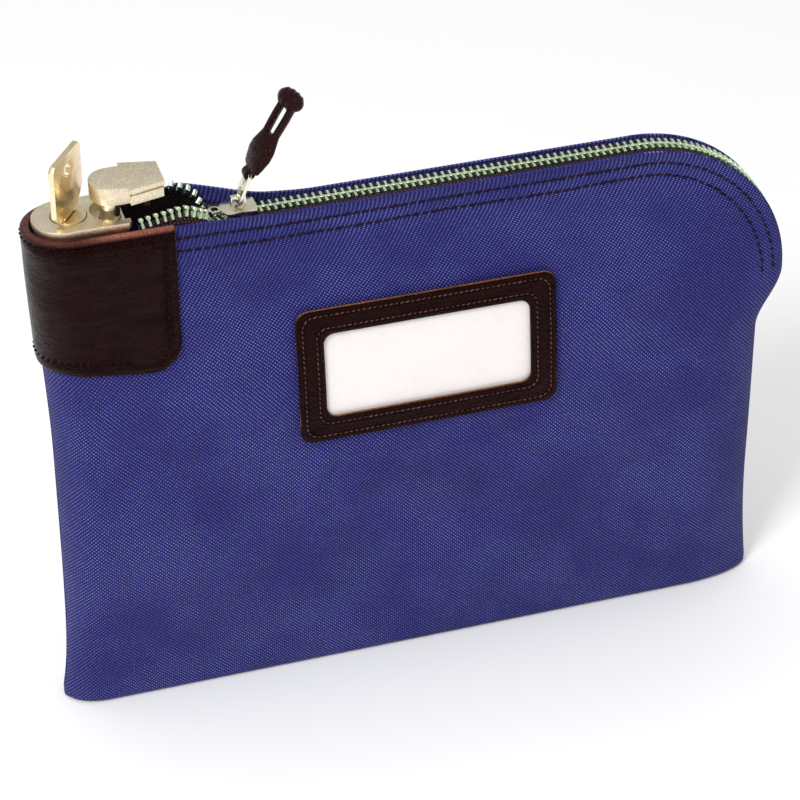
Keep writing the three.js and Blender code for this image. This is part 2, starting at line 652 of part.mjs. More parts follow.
// The leather pull is looped round the tab's upper bar, which is at the origin
function leatherPull() {
  const ring = 2.1;
  const hole = 1.3;
  const half = STRAP_WIDTH / 2;
  const neck = STRAP_NECK / 2;
  const shape = outline([
    [-half, 2.4], [-half + 0.5, 1.9], [half - 0.5, 1.9], [half, 2.4], [half - 0.3, 8], [half - 1.6, 13], [neck, 18],
    [neck, 24], [neck + 0.6, STRAP_LENGTH - 2], [-neck - 0.6, STRAP_LENGTH - 2], [-neck, 24], [-neck, 18],
    [-half + 1.6, 13], [-half + 0.3, 8],
  ]);
  const slit = [[-0.7, 19.5], [0.7, 19.5], [1.1, 23], [0.8, 27], [-0.8, 27], [-1.1, 23]];
  shape.holes.push(new THREE.Path(slit.map(([y, z]) => new THREE.Vector2(y, z))));
  const strap = prism(shape, -STRAP_THICK / 2, STRAP_THICK / 2).rotateX(Math.PI / 2).rotateZ(Math.PI / 2);
  const knob = new THREE.SphereGeometry(KNOB_RADIUS, 14, 8).scale(0.8, 1, 0.75).translate(0, 0, STRAP_LENGTH - 2);
  const loop = new THREE.CylinderGeometry(ring, ring, 3.6, 14);
  const eye = new THREE.CylinderGeometry(hole, hole, 8, 12);
  return cut(join(strap, knob, loop), eye);
}

// ---- The lock -----------------------------------------------------------------------------------
const PLUG_TOP = PLATE_TOP + PLUG_PROUD;
const PLUG_BOTTOM = PLUG_TOP - PLUG_LENGTH;
const BODY_BOTTOM = PLATE_TOP - LOCK_DEPTH;
const POST_BORE = POST_RADIUS + GAP;
const BODY_HALF = LOCK_HALF - BODY_STEP;
const LOCK_LEFT = BAG_LEFT - LEFT_FLARE + FABRIC + 0.8; // the plate's left tip
const BOLT_BOTTOM = BODY_BOTTOM + 2.6;
const pinHeights = Array.from({ length: PIN_COUNT }, (_, i) => PIN_TOP - PIN_PITCH * (PIN_COUNT - 1 - i));
const SCREWS = [
  [LOCK_LEFT + BODY_STEP + 2.6, 0],
  [LOCK_RIGHT - BODY_STEP - 2.1, BODY_HALF - 2.8],
  [LOCK_RIGHT - BODY_STEP - 2.1, -BODY_HALF + 2.8],
];

function lockOutline(inset) {
  const half = LOCK_HALF - inset;
  const middle = LOCK_LEFT + LOCK_HALF;
  const right = LOCK_RIGHT - inset;
  const shape = new THREE.Shape();
  shape.moveTo(right, -half + 1);
  shape.lineTo(right, half - 1);
  shape.lineTo(right - 1, half);
  shape.lineTo(middle, half);
  shape.absarc(middle, 0, half, Math.PI / 2, Math.PI * 1.5, false);
  shape.lineTo(right - 1, -half);
  return shape;
}

function lockHousing() {
  const chamber = pinHeights.map((z) => rod(PLUG_X, 0, z, 90, 0, CHAMBER_END, PIN_RADIUS + GAP));
  const [low, high] = [pinHeights[0] - 2.4, PIN_TOP + 1.2];
  const bible = box(PLUG_X - 2.6, PLUG_X + 2.6, 0, CHAMBER_END + CHAMBER_WALL, low, high);
  const body = prism(lockOutline(BODY_STEP), BODY_BOTTOM, PLATE_TOP - PLATE_THICK + 0.1, 20);
  const plate = prism(lockOutline(0), PLATE_TOP - PLATE_THICK, PLATE_TOP, 20);
  const wellFloor = HEAD_TOP - HEAD_THICK - HEAD_TRAVEL - GAP;
  const well = join(
    post(HEAD_X, 0, wellFloor, PLATE_TOP + 1, HEAD_RADIUS + GAP, 32),
    box(HEAD_X, LOCK_RIGHT + 1, -HEAD_RADIUS - GAP, HEAD_RADIUS + GAP, wellFloor, PLATE_TOP + 1),
  );
  const bores = [
    post(PLUG_X, 0, BODY_BOTTOM - 1, PLATE_TOP + 1, PLUG_BORE, 32),
    post(POST_X, 0, BODY_BOTTOM - 1, PLATE_TOP + 1, POST_BORE),
    box(PLUG_X, POST_X, -BOLT_HALF - GAP, BOLT_HALF + GAP, BOLT_BOTTOM - GAP, BOLT_BOTTOM + BOLT_THICK + GAP),
  ];
  const threads = SCREWS.map(([x, y]) => post(x, y, BODY_BOTTOM - 1, BODY_BOTTOM + 7.3, SCREW_RADIUS + GAP, 12));
  return cut(join(body, plate, bible), well, ...bores, ...chamber, ...threads);
}

function lockCover() {
  const plate = prism(lockOutline(BODY_STEP), BODY_BOTTOM - GAP - COVER, BODY_BOTTOM - GAP, 20);
  return cut(plate, ...SCREWS.map(([x, y]) => post(x, y, BODY_BOTTOM - 5, BODY_BOTTOM + 1, SCREW_RADIUS + GAP, 12)));
}

function coverScrew([x, y]) {
  const seat = BODY_BOTTOM - GAP - COVER - GAP;
  const screw = join(post(x, y, seat - 1.2, seat, SCREW_HEAD, 16), post(x, y, seat - 0.1, BODY_BOTTOM + 7, SCREW_RADIUS, 12));
  return cut(screw, box(x - SCREW_HEAD, x + SCREW_HEAD, y - 0.25, y + 0.25, seat - 2, seat - 0.7));
}

// The plug lies along its own +X before it is turned with the key
function keyPlug() {
  const slot = box(BLADE_BACK - GAP, BLADE_FRONT + GAP, -KEY_THICK / 2 - GAP, KEY_THICK / 2 + GAP, PLUG_BOTTOM + 1, PLUG_TOP + 1);
  const holes = pinHeights.map((z) => rod(0, 0, z, 0, 0, PLUG_RADIUS + 1, PIN_RADIUS + GAP));
  const tail = post(0, 0, PLUG_BOTTOM - CAM_THICK - 0.1, PLUG_BOTTOM + 0.1, 1.5, 16);
  return cut(join(post(0, 0, PLUG_BOTTOM, PLUG_TOP, PLUG_RADIUS, 32), tail), slot, ...holes);
}

const keyPin = (z) => rod(0, 0, z, 0, BLADE_FRONT + GAP, PLUG_RADIUS - 0.05, PIN_RADIUS, 8);
const driverPin = (z) => rod(PLUG_X, 0, z, 90, PLUG_BORE, PLUG_BORE + DRIVER_LENGTH, PIN_RADIUS, 8);

function driverSpring(z) {
  const start = PLUG_BORE + DRIVER_LENGTH + GAP;
  const wire = 0.3;
  const length = CHAMBER_END - start - wire;
  const spring = coil(PIN_RADIUS - wire / 2, length, 3, wire, 7, 2);
  return spring.translate(0, 0, start + wire / 2).rotateX(-Math.PI / 2).translate(PLUG_X, 0, z);
}

// The cam's drive pin hangs down into the bolt's yoke
function plugCam() {
  const top = PLUG_BOTTOM - GAP;
  const angle = radians(DRIVE_ANGLE);
  const disc = cut(post(0, 0, top - CAM_THICK, top, CAM_RADIUS, 24), post(0, 0, top - 2, top + 1, 1.5 + GAP, 16));
  const pin = post(DRIVE_RADIUS * Math.cos(angle), DRIVE_RADIUS * Math.sin(angle), BOLT_BOTTOM + 0.2, top - 0.1, DRIVE_PIN, 12);
  return join(disc, pin).translate(PLUG_X, 0, 0);
}

function latchBolt() {
  const tip = POST_X - (POST_RADIUS - BOLT_CATCH) - BOLT_THROW;
  const angle = radians(DRIVE_ANGLE);
  const pinX = PLUG_X + DRIVE_RADIUS * Math.cos(angle);
  const play = DRIVE_PIN + GAP;
  const shape = outline([
    [PLUG_X - 2.9, BOLT_HALF], [PLUG_X - 2.9, -4.5], [pinX - play, -4.5], [pinX - play, -1.6], [pinX + play, -1.6],
    [pinX + play, -4.5], [PLUG_X + 2, -4.5], [PLUG_X + 2, -BOLT_HALF], [tip, -BOLT_HALF], [tip, BOLT_HALF],
  ]);
  return prism(shape, BOLT_BOTTOM, BOLT_BOTTOM + BOLT_THICK);
}

function boltSpring() {
  const [from, to] = [PLUG_X - PLUG_BORE + 0.5, PLUG_X - 2.9 - GAP];
  const wire = 0.3;
  const spring = coil(0.75, to - from - wire, 3, wire, 7, 2).rotateY(Math.PI / 2);
  return spring.translate(from + wire / 2, 0, BOLT_BOTTOM + BOLT_THICK / 2);
}

// The key lies in its own XZ plane before it is turned: the bow above, the cut blade below
function bagKey() {
  const shoulder = PLUG_TOP + 1.2;
  const half = BOW_WIDTH / 2;
  const top = shoulder + BOW_HEIGHT;
  const points = [[half, shoulder + 6], [half, top - 1.5], [half - 1.5, top], [-half + 1.5, top], [-half, top - 1.5]];
  points.push([-half, shoulder + 3], [-half + 3, shoulder], [BLADE_BACK, shoulder]);
  const tip = PLUG_TOP - BLADE_LENGTH + 1.4;
  points.push([BLADE_BACK, tip + 1], [BLADE_BACK + 2, tip], [BLADE_FRONT - 2, tip], [BLADE_FRONT - 0.9, tip + 0.4]);
  const depths = [1.1, 0.6, 1.6, 0.9, 1.8, 0.7, 1.3];
  pinHeights.forEach((z, i) => {
    points.push([BLADE_FRONT, z - 1.3], [BLADE_FRONT - depths[i], z - 0.5], [BLADE_FRONT - depths[i], z + 0.5]);
  });
  points.push([BLADE_FRONT, PIN_TOP + 1.4], [BLADE_FRONT, shoulder], [half - 5, shoulder]);
  const shape = outline(points);
  const hole = new THREE.Path();
  hole.absellipse(0, top - 6, 2.6, 2.6, 0, 2 * Math.PI, true);
  shape.holes.push(hole);
  return prism(shape, -KEY_THICK / 2, KEY_THICK / 2, 10).rotateX(Math.PI / 2);
}

// ---- The pop-up head ----------------------------------------------------------------------------
const HEAD_BOTTOM = HEAD_TOP - HEAD_THICK;
const POST_BOTTOM = BODY_BOTTOM + 0.3 + HEAD_TRAVEL;
const TENON = 1.7;

function headWedge(inset) {
  const [left, right] = [HEAD_STEP_X + inset, HEAD_RIGHT - inset];
  return outline([[left, -HEAD_WIDE + inset], [right, -HEAD_NARROW + inset], [right, HEAD_NARROW - inset], [left, HEAD_WIDE - inset]]);
}

function lockingHead() {
  const round = new THREE.Shape();
  round.moveTo(HEAD_STEP_X + 0.5, HEAD_RADIUS);
  round.lineTo(HEAD_X, HEAD_RADIUS);
  round.absarc(HEAD_X, 0, HEAD_RADIUS, Math.PI / 2, Math.PI * 1.5, false);
  round.lineTo(HEAD_STEP_X + 0.5, -HEAD_RADIUS);
  const grooveTop = HEAD_TOP - HEAD_LIP;
  const grooveBottom = grooveTop - HEAD_GROOVE;
  const body = join(
    prism(round, HEAD_BOTTOM, HEAD_TOP, 16),
    prism(headWedge(0), grooveTop, HEAD_TOP),
    prism(headWedge(1), grooveBottom - 0.1, grooveTop + 0.1),
    prism(headWedge(0.4), HEAD_BOTTOM, grooveBottom),
    post(LOCK_PIN_X, 0, lockPinTip(), HEAD_BOTTOM + 0.1, LOCK_PIN_RADIUS, 16),
  );
  return cut(body, post(POST_X, 0, HEAD_BOTTOM - 1, HEAD_BOTTOM + 3.6 + GAP, TENON + GAP, 16));
}

// Pressed down, the pin goes through the locking eye of the slider parked under it
const LOCK_PIN_X = SLIDER_X - SLIDER_LENGTH / 2 - EYE_REACH + EYE_RADIUS + EYE_WALL - PARK_TRAVEL;

function lockPinTip() {
  return CHAIN_Z + CHANNEL_HALF - 0.7 + HEAD_TRAVEL;
}

function headPost() {
  const barrel = post(POST_X, 0, POST_BOTTOM, HEAD_BOTTOM - GAP, POST_RADIUS);
  const tenon = post(POST_X, 0, HEAD_BOTTOM - GAP - 0.1, HEAD_BOTTOM + 3.6, TENON, 16);
  const hollow = post(POST_X, 0, POST_BOTTOM - 1, HEAD_BOTTOM - 5, POST_HOLLOW, 20);
  const windowTop = POST_BOTTOM + HOOK + BOLT_THICK + 4 * GAP;
  const catchWindow = box(POST_X - POST_RADIUS - 1, POST_X, -BOLT_HALF - GAP, BOLT_HALF + GAP, POST_BOTTOM + HOOK, windowTop);
  return cut(join(barrel, tenon), hollow, catchWindow);
}

function headSpring() {
  const wire = 0.5;
  const [low, high] = [BODY_BOTTOM + 0.1, HEAD_BOTTOM - 5 - GAP];
  const spring = coil(POST_HOLLOW - GAP - wire / 2 - 0.1, high - low - wire, 9, wire, 8, 2);
  return spring.translate(POST_X, 0, low + wire / 2);
}

// ---- Assembly -----------------------------------------------------------------------------------
const bag = new THREE.Group();

function add(parent, name, geometry, material) {
  const mesh = new THREE.Mesh(geometry, material);
  mesh.name = name;
  parent.add(mesh);
}

const SIDES = [["front", -1], ["rear", 1]];
for (const [name, side] of SIDES) {
  add(bag, `${name}_panel`, panel(side), nylon());
  add(bag, `zipper_tape_${name}`, zipperTape(side), tapeCloth());
  add(bag, `zipper_teeth_${name}`, teethRow(side), brassTeeth());
}
add(bag, "seam_binding", seamBinding(), binding());
add(bag, "zipper_end_stop", zipperEndStop(), brassTeeth());
add(bag, "lock_patch", lockPatch(), leather());
add(bag, "lock_lining", lockLining(), lining());
add(bag, "label_card", labelSheet(LABEL_BASE, CARD, 0), card());
add(bag, "label_window", labelSheet(WINDOW_BASE, WINDOW, 1.5), vinyl());
add(bag, "label_frame", labelFrame(), leather());

add(bag, "lock_housing", lockHousing(), satinMetal());
add(bag, "lock_cover", lockCover(), satinMetal());
SCREWS.forEach((place, i) => add(bag, `cover_screw_${i + 1}`, coverScrew(place), springSteel()));
pinHeights.forEach((z, i) => {
  add(bag, `driver_pin_${i + 1}`, driverPin(z), brass());
  add(bag, `driver_spring_${i + 1}`, driverSpring(z), springSteel());
});
add(bag, "latch_bolt", latchBolt(), springSteel());
add(bag, "bolt_spring", boltSpring(), springSteel());

// The plug, its pins and the key turn together
const turned = new THREE.Group();
turned.position.set(PLUG_X, 0, 0);
turned.rotation.z = radians(KEY_ANGLE);
bag.add(turned);
add(turned, "key_plug", keyPlug(), brass());
pinHeights.forEach((z, i) => add(turned, `key_pin_${i + 1}`, keyPin(z), brass()));
add(turned, "bag_key", bagKey(), brass());
add(bag, "plug_cam", plugCam(), springSteel());

add(bag, "locking_head", lockingHead(), satinMetal());
add(bag, "head_post", headPost(), satinMetal());
add(bag, "head_spring", headSpring(), springSteel());

add(bag, "slider_body", sliderBody(), satinMetal());
const tabPivot = new THREE.Group();
tabPivot.position.set(SLIDER_X, 0, CROWN_Z);
tabPivot.rotation.y = radians(90 - TAB_ANGLE);
bag.add(tabPivot);
add(tabPivot, "pull_tab", pullTab(), satinMetal());
const strapPivot = new THREE.Group();
strapPivot.position.z = TAB_LENGTH;
strapPivot.rotation.y = radians(TAB_ANGLE - STRAP_ANGLE);
tabPivot.add(strapPivot);
add(strapPivot, "leather_pull", leatherPull(), leather());

export default bag;
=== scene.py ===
"""The finished looks of a locking cash deposit bag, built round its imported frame."""

import json
import math

import bmesh
import bpy
import numpy as np
from bpy.props import FloatProperty, FloatVectorProperty, IntProperty, PointerProperty
from mathutils import Matrix, Vector, noise


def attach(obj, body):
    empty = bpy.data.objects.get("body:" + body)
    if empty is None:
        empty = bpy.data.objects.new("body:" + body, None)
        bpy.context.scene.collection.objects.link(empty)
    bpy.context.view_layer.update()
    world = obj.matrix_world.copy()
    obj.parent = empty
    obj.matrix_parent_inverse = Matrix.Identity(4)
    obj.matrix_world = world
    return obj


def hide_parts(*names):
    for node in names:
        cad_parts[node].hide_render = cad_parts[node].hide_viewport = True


bl_info = {
    "name": "Locking deposit bag",
    "version": (1, 0, 0),
    "blender": (4, 5, 0),
    "location": "View3D > Sidebar > Deposit Bag",
    "description": "Builds the cloth, leather, zipper, lock and key of a locking deposit bag",
    "category": "Object",
}

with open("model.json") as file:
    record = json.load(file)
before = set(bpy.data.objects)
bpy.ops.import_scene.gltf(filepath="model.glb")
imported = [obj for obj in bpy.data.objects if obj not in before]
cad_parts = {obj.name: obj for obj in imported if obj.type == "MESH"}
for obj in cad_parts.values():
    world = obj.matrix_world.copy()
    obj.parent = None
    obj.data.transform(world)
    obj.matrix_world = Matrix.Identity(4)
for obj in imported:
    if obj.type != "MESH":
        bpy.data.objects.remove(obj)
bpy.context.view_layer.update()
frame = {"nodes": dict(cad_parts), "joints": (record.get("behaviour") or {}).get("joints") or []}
MM = 0.001

# ---- Sizes of the pouch, in millimetres, as its solids have them ---------------------------------
GAP = 0.3
SEAM_GAP = 0.3
BAG_LEFT, BAG_RIGHT, BAG_TOP = -137.3, 134.5, 203.0
FABRIC = 1.2
BASE_HALF, BELLY_HALF, RIM_HALF, MOUTH_HALF = 10.0, 15.4, 7.0, 13.4
MOUTH_LIFT = 5.5
BASE_FOLD, BASE_LAP = 3.0, 2.0
CORNER_RADIUS = 58.5
CORNER_X, CORNER_Z = 82.5, BAG_TOP - CORNER_RADIUS
SHOULDER = CORNER_Z - 28
BASE_CORNER = 4.0  # rounding of the lower corners
LEFT_FLARE, LEFT_FOOT = 3.2, 1.8
RIGHT_FOOT, RIGHT_FOOT_HEIGHT = 3.4, 55
MOUTH_FULL, MOUTH_CLOSED, LIFT_CLOSED = -94, -55, -52  # where the mouth is full width, closed, and level
SIDE_LEFT, SIDE_RIGHT = 15.0, 30.0
LEFT_SHARE = RIGHT_SHARE = 0.2
LEATHER, LINING = 1.6, 0.7
PATCH_RIGHT, PATCH_BOTTOM, PATCH_CORNER = -91.5, BAG_TOP - 51.5, 11.0
PATCH_RISE, LOCK_LEFT = 3.5, -138.5
LABEL_X, LABEL_Z = -0.5, BAG_TOP - 66
LABEL_WIDTH, LABEL_HEIGHT, LABEL_SIDE, LABEL_CORNER = 98.5, 54.2, 10.3, 5.0
LABEL_HELD = 3.5
CARD, WINDOW, FRAME_LEATHER = 0.4, 0.3, 1.3
WINDOW_CLEARNESS = 0.06
CHAIN_Z = BAG_TOP - 1
CHAIN_RADIUS = CHAIN_Z - CORNER_Z
ROW_OUTER = 2.85
TAPE, TAPE_DEPTH, TAPE_GAP = 0.8, 10.0, 0.8
MOUTH_START = -103.5
# The open stretch of the zipper: x, how far the row stands out, how far it rises
OPEN_ROW = [
    (-63, 0, 0), (-68, 0.4, 0), (-72, 1.4, 0), (-75.5, 2.8, 0.5),
    (-80, 4.6, 4.4), (-86, 5.9, 7.8), (-93, 6.9, 9.2), (MOUTH_START, 7.7, 8),
]
ZIP_END_ANGLE = -6
STRAP_ANGLE, STRAP_LENGTH = 59, 33.0
STRAP_TWIST = math.radians(36)

# What the solids leave out: how the cloth lies, in millimetres
REAR_STAND = 2.8  # how much higher the rear rim stands behind the mouth
FOOT_SPREAD = 2.6  # how far the left foot spreads on the floor
BROAD_SLACK, FINE_SLACK, CREASE = 1.5, 0.35, 2.4
SEAM_GROOVE, SEAM_RIPPLE, HEM_DROP = 0.5, 0.12, 0.1
RIM_ROUNDING = (45, 90, 135)  # degrees round the edge of a sheet


# ---- The pouch's surface -------------------------------------------------------------------------
def smooth(start, end, value):
    t = np.clip((np.asarray(value, float) - start) / (end - start), 0, 1)
    return t * t * (3 - 2 * t)


def lerp(a, b, t):
    return a + (b - a) * t


def corner_inset(z):
    below = np.maximum(0, BASE_CORNER - z)
    return BASE_CORNER - np.sqrt(BASE_CORNER**2 - below**2 * 0.98)


def left_edge(z):
    lean = LEFT_FLARE * smooth(BAG_TOP - 93, BAG_TOP, z)
    return BAG_LEFT - LEFT_FOOT * np.exp(-z / 14) - lean + corner_inset(z)


def right_edge(z):
    arc = CORNER_X + np.sqrt(np.maximum(0, CORNER_RADIUS**2 - (z - CORNER_Z) ** 2))
    flare = RIGHT_FOOT * (1 - np.clip(z / RIGHT_FOOT_HEIGHT, 0, 1)) ** 2
    seam = lerp(BAG_RIGHT + flare, CORNER_X + CORNER_RADIUS, smooth(SHOULDER, CORNER_Z - 1, z))
    return np.where(z > CORNER_Z, arc, seam - corner_inset(z))


def rim_half(x):
    return lerp(RIM_HALF, MOUTH_HALF, 1 - smooth(MOUTH_FULL, MOUTH_CLOSED, x))


def rim_lift(x, z):
    return MOUTH_LIFT * (1 - smooth(MOUTH_FULL, LIFT_CLOSED, x)) * smooth(BAG_TOP - 60, BAG_TOP, z)


def half_thickness(x, z):
    low = lerp(BASE_HALF, BELLY_HALF, np.sin(math.pi / 2 * np.clip(z / (BAG_TOP - 108), 0, 1)))
    return lerp(low, rim_half(x), smooth(BAG_TOP - 91, BAG_TOP, z))


def edge_half(z):
    return lerp(SEAM_GAP, RIM_HALF, smooth(SHOULDER, CORNER_Z, z))


def pouch_point(across, z, inset):
    """x, half thickness, how far round the side it is and lifted height, for arrays."""
    seam = 1 - smooth(SHOULDER, CORNER_Z, z)
    left, right = left_edge(z) + inset, right_edge(z) - inset * seam
    left_depth, right_depth = SIDE_LEFT - inset, SIDE_RIGHT - inset * seam
    turn_left = np.clip(across / LEFT_SHARE, 0, 1) * math.pi / 2
    turn_right = np.clip((1 - across) / RIGHT_SHARE, 0, 1) * math.pi / 2
    on_left, on_right = across < LEFT_SHARE, across > 1 - RIGHT_SHARE
    middle = (across - LEFT_SHARE) / (1 - LEFT_SHARE - RIGHT_SHARE)
    x = lerp(left + left_depth, right - right_depth, middle)
    x = np.where(on_left, left + left_depth * (1 - np.cos(turn_left)), x)
    x = np.where(on_right, right - right_depth * (1 - np.cos(turn_right)), x)
    closing = np.where(on_left, np.sin(turn_left), np.where(on_right, np.sin(turn_right), 1.0))
    edge = np.where(on_right, edge_half(z) - inset * (1 - seam), SEAM_GAP)
    half = lerp(edge, half_thickness(x, z) - inset, closing)
    return x, half, closing, z + rim_lift(x, z)


def rim_slack(x, z, side):
    """The rear rim stands up a little behind the open mouth; the lock draws the front one down."""
    if side < 0:
        return np.zeros_like(np.asarray(x, float))
    behind_mouth = smooth(PATCH_RIGHT, PATCH_RIGHT + 8, x) * (1 - smooth(-72, -35, x))
    return REAR_STAND * behind_mouth * smooth(BAG_TOP - 25, BAG_TOP, z)


def face_half(x, z, inset=0.0):
    """Half thickness of the pouch where a point of its face is at x and at height z before the lift."""
    seam = 1 - smooth(SHOULDER, CORNER_Z, z)
    left, right = left_edge(z) + inset, right_edge(z) - inset * seam
    in_left = np.clip((x - left) / (SIDE_LEFT - inset), 0, 1)
    in_right = np.clip((right - x) / (SIDE_RIGHT - inset * seam), 0, 1)
    closing = np.where(in_left < 1, np.sqrt(1 - (1 - in_left) ** 2), np.sqrt(1 - (1 - in_right) ** 2))
    edge = np.where(in_left < 1, SEAM_GAP, edge_half(z) - inset * (1 - seam))
    return lerp(edge, half_thickness(x, z) - inset, closing)


def rim_distance(x, z):
    """How far a point of a face is from the rim that the zipper is sewn along."""
    round_corner = CORNER_RADIUS - np.hypot(x - CORNER_X, np.maximum(z - CORNER_Z, 0))
    return np.where(x <= CORNER_X, BAG_TOP - z, np.where(z >= CORNER_Z, round_corner, CORNER_RADIUS))


def soft_noise(points, size, seed):
    """Smooth noise, about -0.5 to 0.5, at points in millimetres."""
    flat = points.reshape(-1, 3) / size + seed
    values = [noise.noise(Vector(p)) for p in flat]
    return np.array(values).reshape(points.shape[:-1])


def cloth_relief(x, z, side, sizes):
    """How far the cloth stands proud of its flat lay: slack, creases and puckers beside the stitches."""
    points = np.stack([x, np.full_like(x, side * 40.0), z], axis=-1)
    slack = soft_noise(points, 46, 3.1) * BROAD_SLACK + soft_noise(points, 17, 8.7) * FINE_SLACK
    lean = np.stack([(x + z) / 60, (x - z) / 14, np.full_like(x, side * 3.0)], axis=-1)
    creases = np.maximum(0, soft_noise(lean * 10, 10, 5.2) - 0.12) * CREASE
    creases *= np.exp(-(((x + 20) / 45) ** 2) - ((z - 92) / 26) ** 2)
    away = rim_distance(x, z)
    puckers = np.zeros_like(x)
    along = x + 1.7 * z
    for row in (sizes.row_near / MM, sizes.row_far / MM):
        groove = np.exp(-(((away - row) / 1.0) ** 2))
        puckers -= groove * SEAM_GROOVE
        ripple = np.sin(along / 3.6 + 2.0 * np.sin(along / 19))
        puckers += np.exp(-(((away - row - 2.5) / 2.2) ** 2)) * SEAM_RIPPLE * ripple
    hem = -HEM_DROP * (1 - smooth(0, 3, away))
    under_leather = 1 - smooth(PATCH_RIGHT - 2, PATCH_RIGHT + 12, x)
    under_leather *= smooth(PATCH_BOTTOM - 12, PATCH_BOTTOM + 2, z)
    beside = np.maximum(np.abs(x - LABEL_X) - LABEL_WIDTH / 2, np.abs(z - LABEL_Z) - LABEL_HEIGHT / 2)
    under_label = 1 - smooth(0, 9, beside) if side < 0 else np.zeros_like(x)
    held = np.maximum(under_leather, under_label)
    free = (1 - held) * smooth(0, 14, away) * smooth(0, 20, z)
    return (slack * sizes.slack + creases) * free + puckers + hem


# ---- Meshes --------------------------------------------------------------------------------------
def finished(name, points, faces, material, body, uv=None, marks=None):
    """A mesh object from points in millimetres, riding on its body."""
    mesh = bpy.data.meshes.new(name)
    mesh.from_pydata((np.asarray(points) * MM).tolist(), [], faces)
    mesh.polygons.foreach_set("use_smooth", [True] * len(mesh.polygons))
    if uv is not None:
        layer = mesh.uv_layers.new(name="surface")
        corners = np.empty(len(mesh.loops), int)
        mesh.loops.foreach_get("vertex_index", corners)
        layer.data.foreach_set("uv", (np.asarray(uv)[corners] * MM).astype(np.float32).ravel())
    for mark, values in (marks or {}).items():
        mesh.attributes.new(mark, "FLOAT", "POINT").data.foreach_set("value", np.asarray(values, np.float32))
    mesh.update()
    return placed(name, mesh, material, body)


def placed(name, mesh, material, body):
    piece = bpy.data.objects.new(name, mesh)
    bpy.context.collection.objects.link(piece)
    mesh.materials.clear()
    mesh.materials.append(material)
    if body:
        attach(piece, body)
    return piece


def shell(outer, inner, uv, marks=None, wraps=False, rounding=(30, 60, 90, 120, 150)):
    """A closed sheet between two grids of points, its edges rounded over between them."""
    rows, columns = outer.shape[:2]
    marks = marks or {}
    last = rows - 1
    if wraps:
        loops = [[(0, c) for c in range(columns)], [(last, c) for c in range(columns)]]
    else:
        border = [(0, c) for c in range(columns)] + [(r, columns - 1) for r in range(1, rows)]
        border += [(last, c) for c in range(columns - 2, -1, -1)] + [(r, 0) for r in range(last - 1, 0, -1)]
        loops = [border]
    outer, inner = outer.copy(), inner.copy()
    rings = []
    for loop in loops:
        r = np.array([p[0] for p in loop])
        c = np.array([p[1] for p in loop])
        inside_r = np.clip(r, 1, last - 1)
        inside_c = c if wraps else np.clip(c, 1, columns - 2)
        away = (outer[r, c] + inner[r, c]) - (outer[inside_r, inside_c] + inner[inside_r, inside_c])
        away /= np.maximum(np.linalg.norm(away, axis=1, keepdims=True), 1e-9)
        half = np.linalg.norm(outer[r, c] - inner[r, c], axis=1, keepdims=True) / 2
        across = (outer[r, c] - inner[r, c]) / (2 * np.maximum(half, 1e-9))
        centre = (outer[r, c] + inner[r, c]) / 2 - away * half
        outer[r, c] = centre + across * half
        inner[r, c] = centre - across * half
        turns = [centre + half * (math.cos(a) * across + math.sin(a) * away) for a in np.radians(rounding)]
        rings.append((r, c, turns))
    points = [outer.reshape(-1, 3), inner.reshape(-1, 3)]
    coords = [uv.reshape(-1, 2), uv.reshape(-1, 2)]
    values = {k: [v.reshape(-1), v.reshape(-1)] for k, v in marks.items()}
    edge = [np.zeros(rows * columns), np.zeros(rows * columns)]
    count = rows * columns
    at = np.arange(count).reshape(rows, columns)
    if wraps:
        step = np.roll(at, -1, axis=1)
        a, b, c, d = at[:-1], step[:-1], step[1:], at[1:]
    else:
        a, b, c, d = at[:-1, :-1], at[:-1, 1:], at[1:, 1:], at[1:, :-1]
    quads = np.stack([a, b, c, d], axis=-1).reshape(-1, 4)
    faces = [quads, quads[:, ::-1] + count]
    base = 2 * count
    for k, (r, c, turns) in enumerate(rings):
        n = len(r)
        strips = [at[r, c]]
        for turn in turns:
            points.append(turn)
            coords.append(uv[r, c])
            edge.append(np.ones(n))
            for mark, value in marks.items():
                values[mark].append(value[r, c])
            strips.append(np.arange(base, base + n))
            base += n
        strips.append(at[r, c] + count)
        for s, t in zip(strips[:-1], strips[1:]):
            quad = np.stack([s, t, np.roll(t, -1), np.roll(s, -1)], axis=-1)
            faces.append(quad[:, ::-1] if wraps and k == 1 else quad)
    all_points = np.concatenate(points)
    all_faces = np.concatenate(faces)
    if signed_volume(all_points, all_faces) < 0:
        all_faces = all_faces[:, ::-1]
    found = {k: np.concatenate(v) for k, v in values.items()}
    found["cut_edge"] = np.concatenate(edge)
    return all_points, all_faces.tolist(), np.concatenate(coords), found


def signed_volume(points, quads):
    a, b, c, d = (points[quads[:, i]] for i in range(4))
    first = np.einsum("ij,ij->i", a, np.cross(b, c))
    second = np.einsum("ij,ij->i", a, np.cross(c, d))
    return (first + second).sum()


def grid_uv(grid):
    """Lengths along the surface, so a weave keeps its size where the cloth turns."""
    rows, columns = grid.shape[:2]
    sideways = np.linalg.norm(np.diff(grid, axis=1), axis=2).cumsum(1)
    upwards = np.linalg.norm(np.diff(grid, axis=0), axis=2).cumsum(0)
    across = np.concatenate([np.zeros((rows, 1)), sideways], axis=1)
    up = np.concatenate([np.zeros((1, columns)), upwards])
    middle = slice(columns // 2, columns // 2 + 1)
    return np.stack([across - across[:, middle], np.broadcast_to(up[:, middle], across.shape)], axis=-1)


def join_rings(work, rings, capped=True):
    """Skin a row of rings, each with the same count of vertices."""
    for a, b in zip(rings[:-1], rings[1:]):
        for k in range(len(a)):
            work.faces.new((a[k], a[(k + 1) % len(a)], b[(k + 1) % len(a)], b[k]))
    if capped:
        work.faces.new(rings[0][::-1])
        work.faces.new(rings[-1])


def full_turn(sides):
    return [2 * math.pi * k / sides for k in range(sides)]


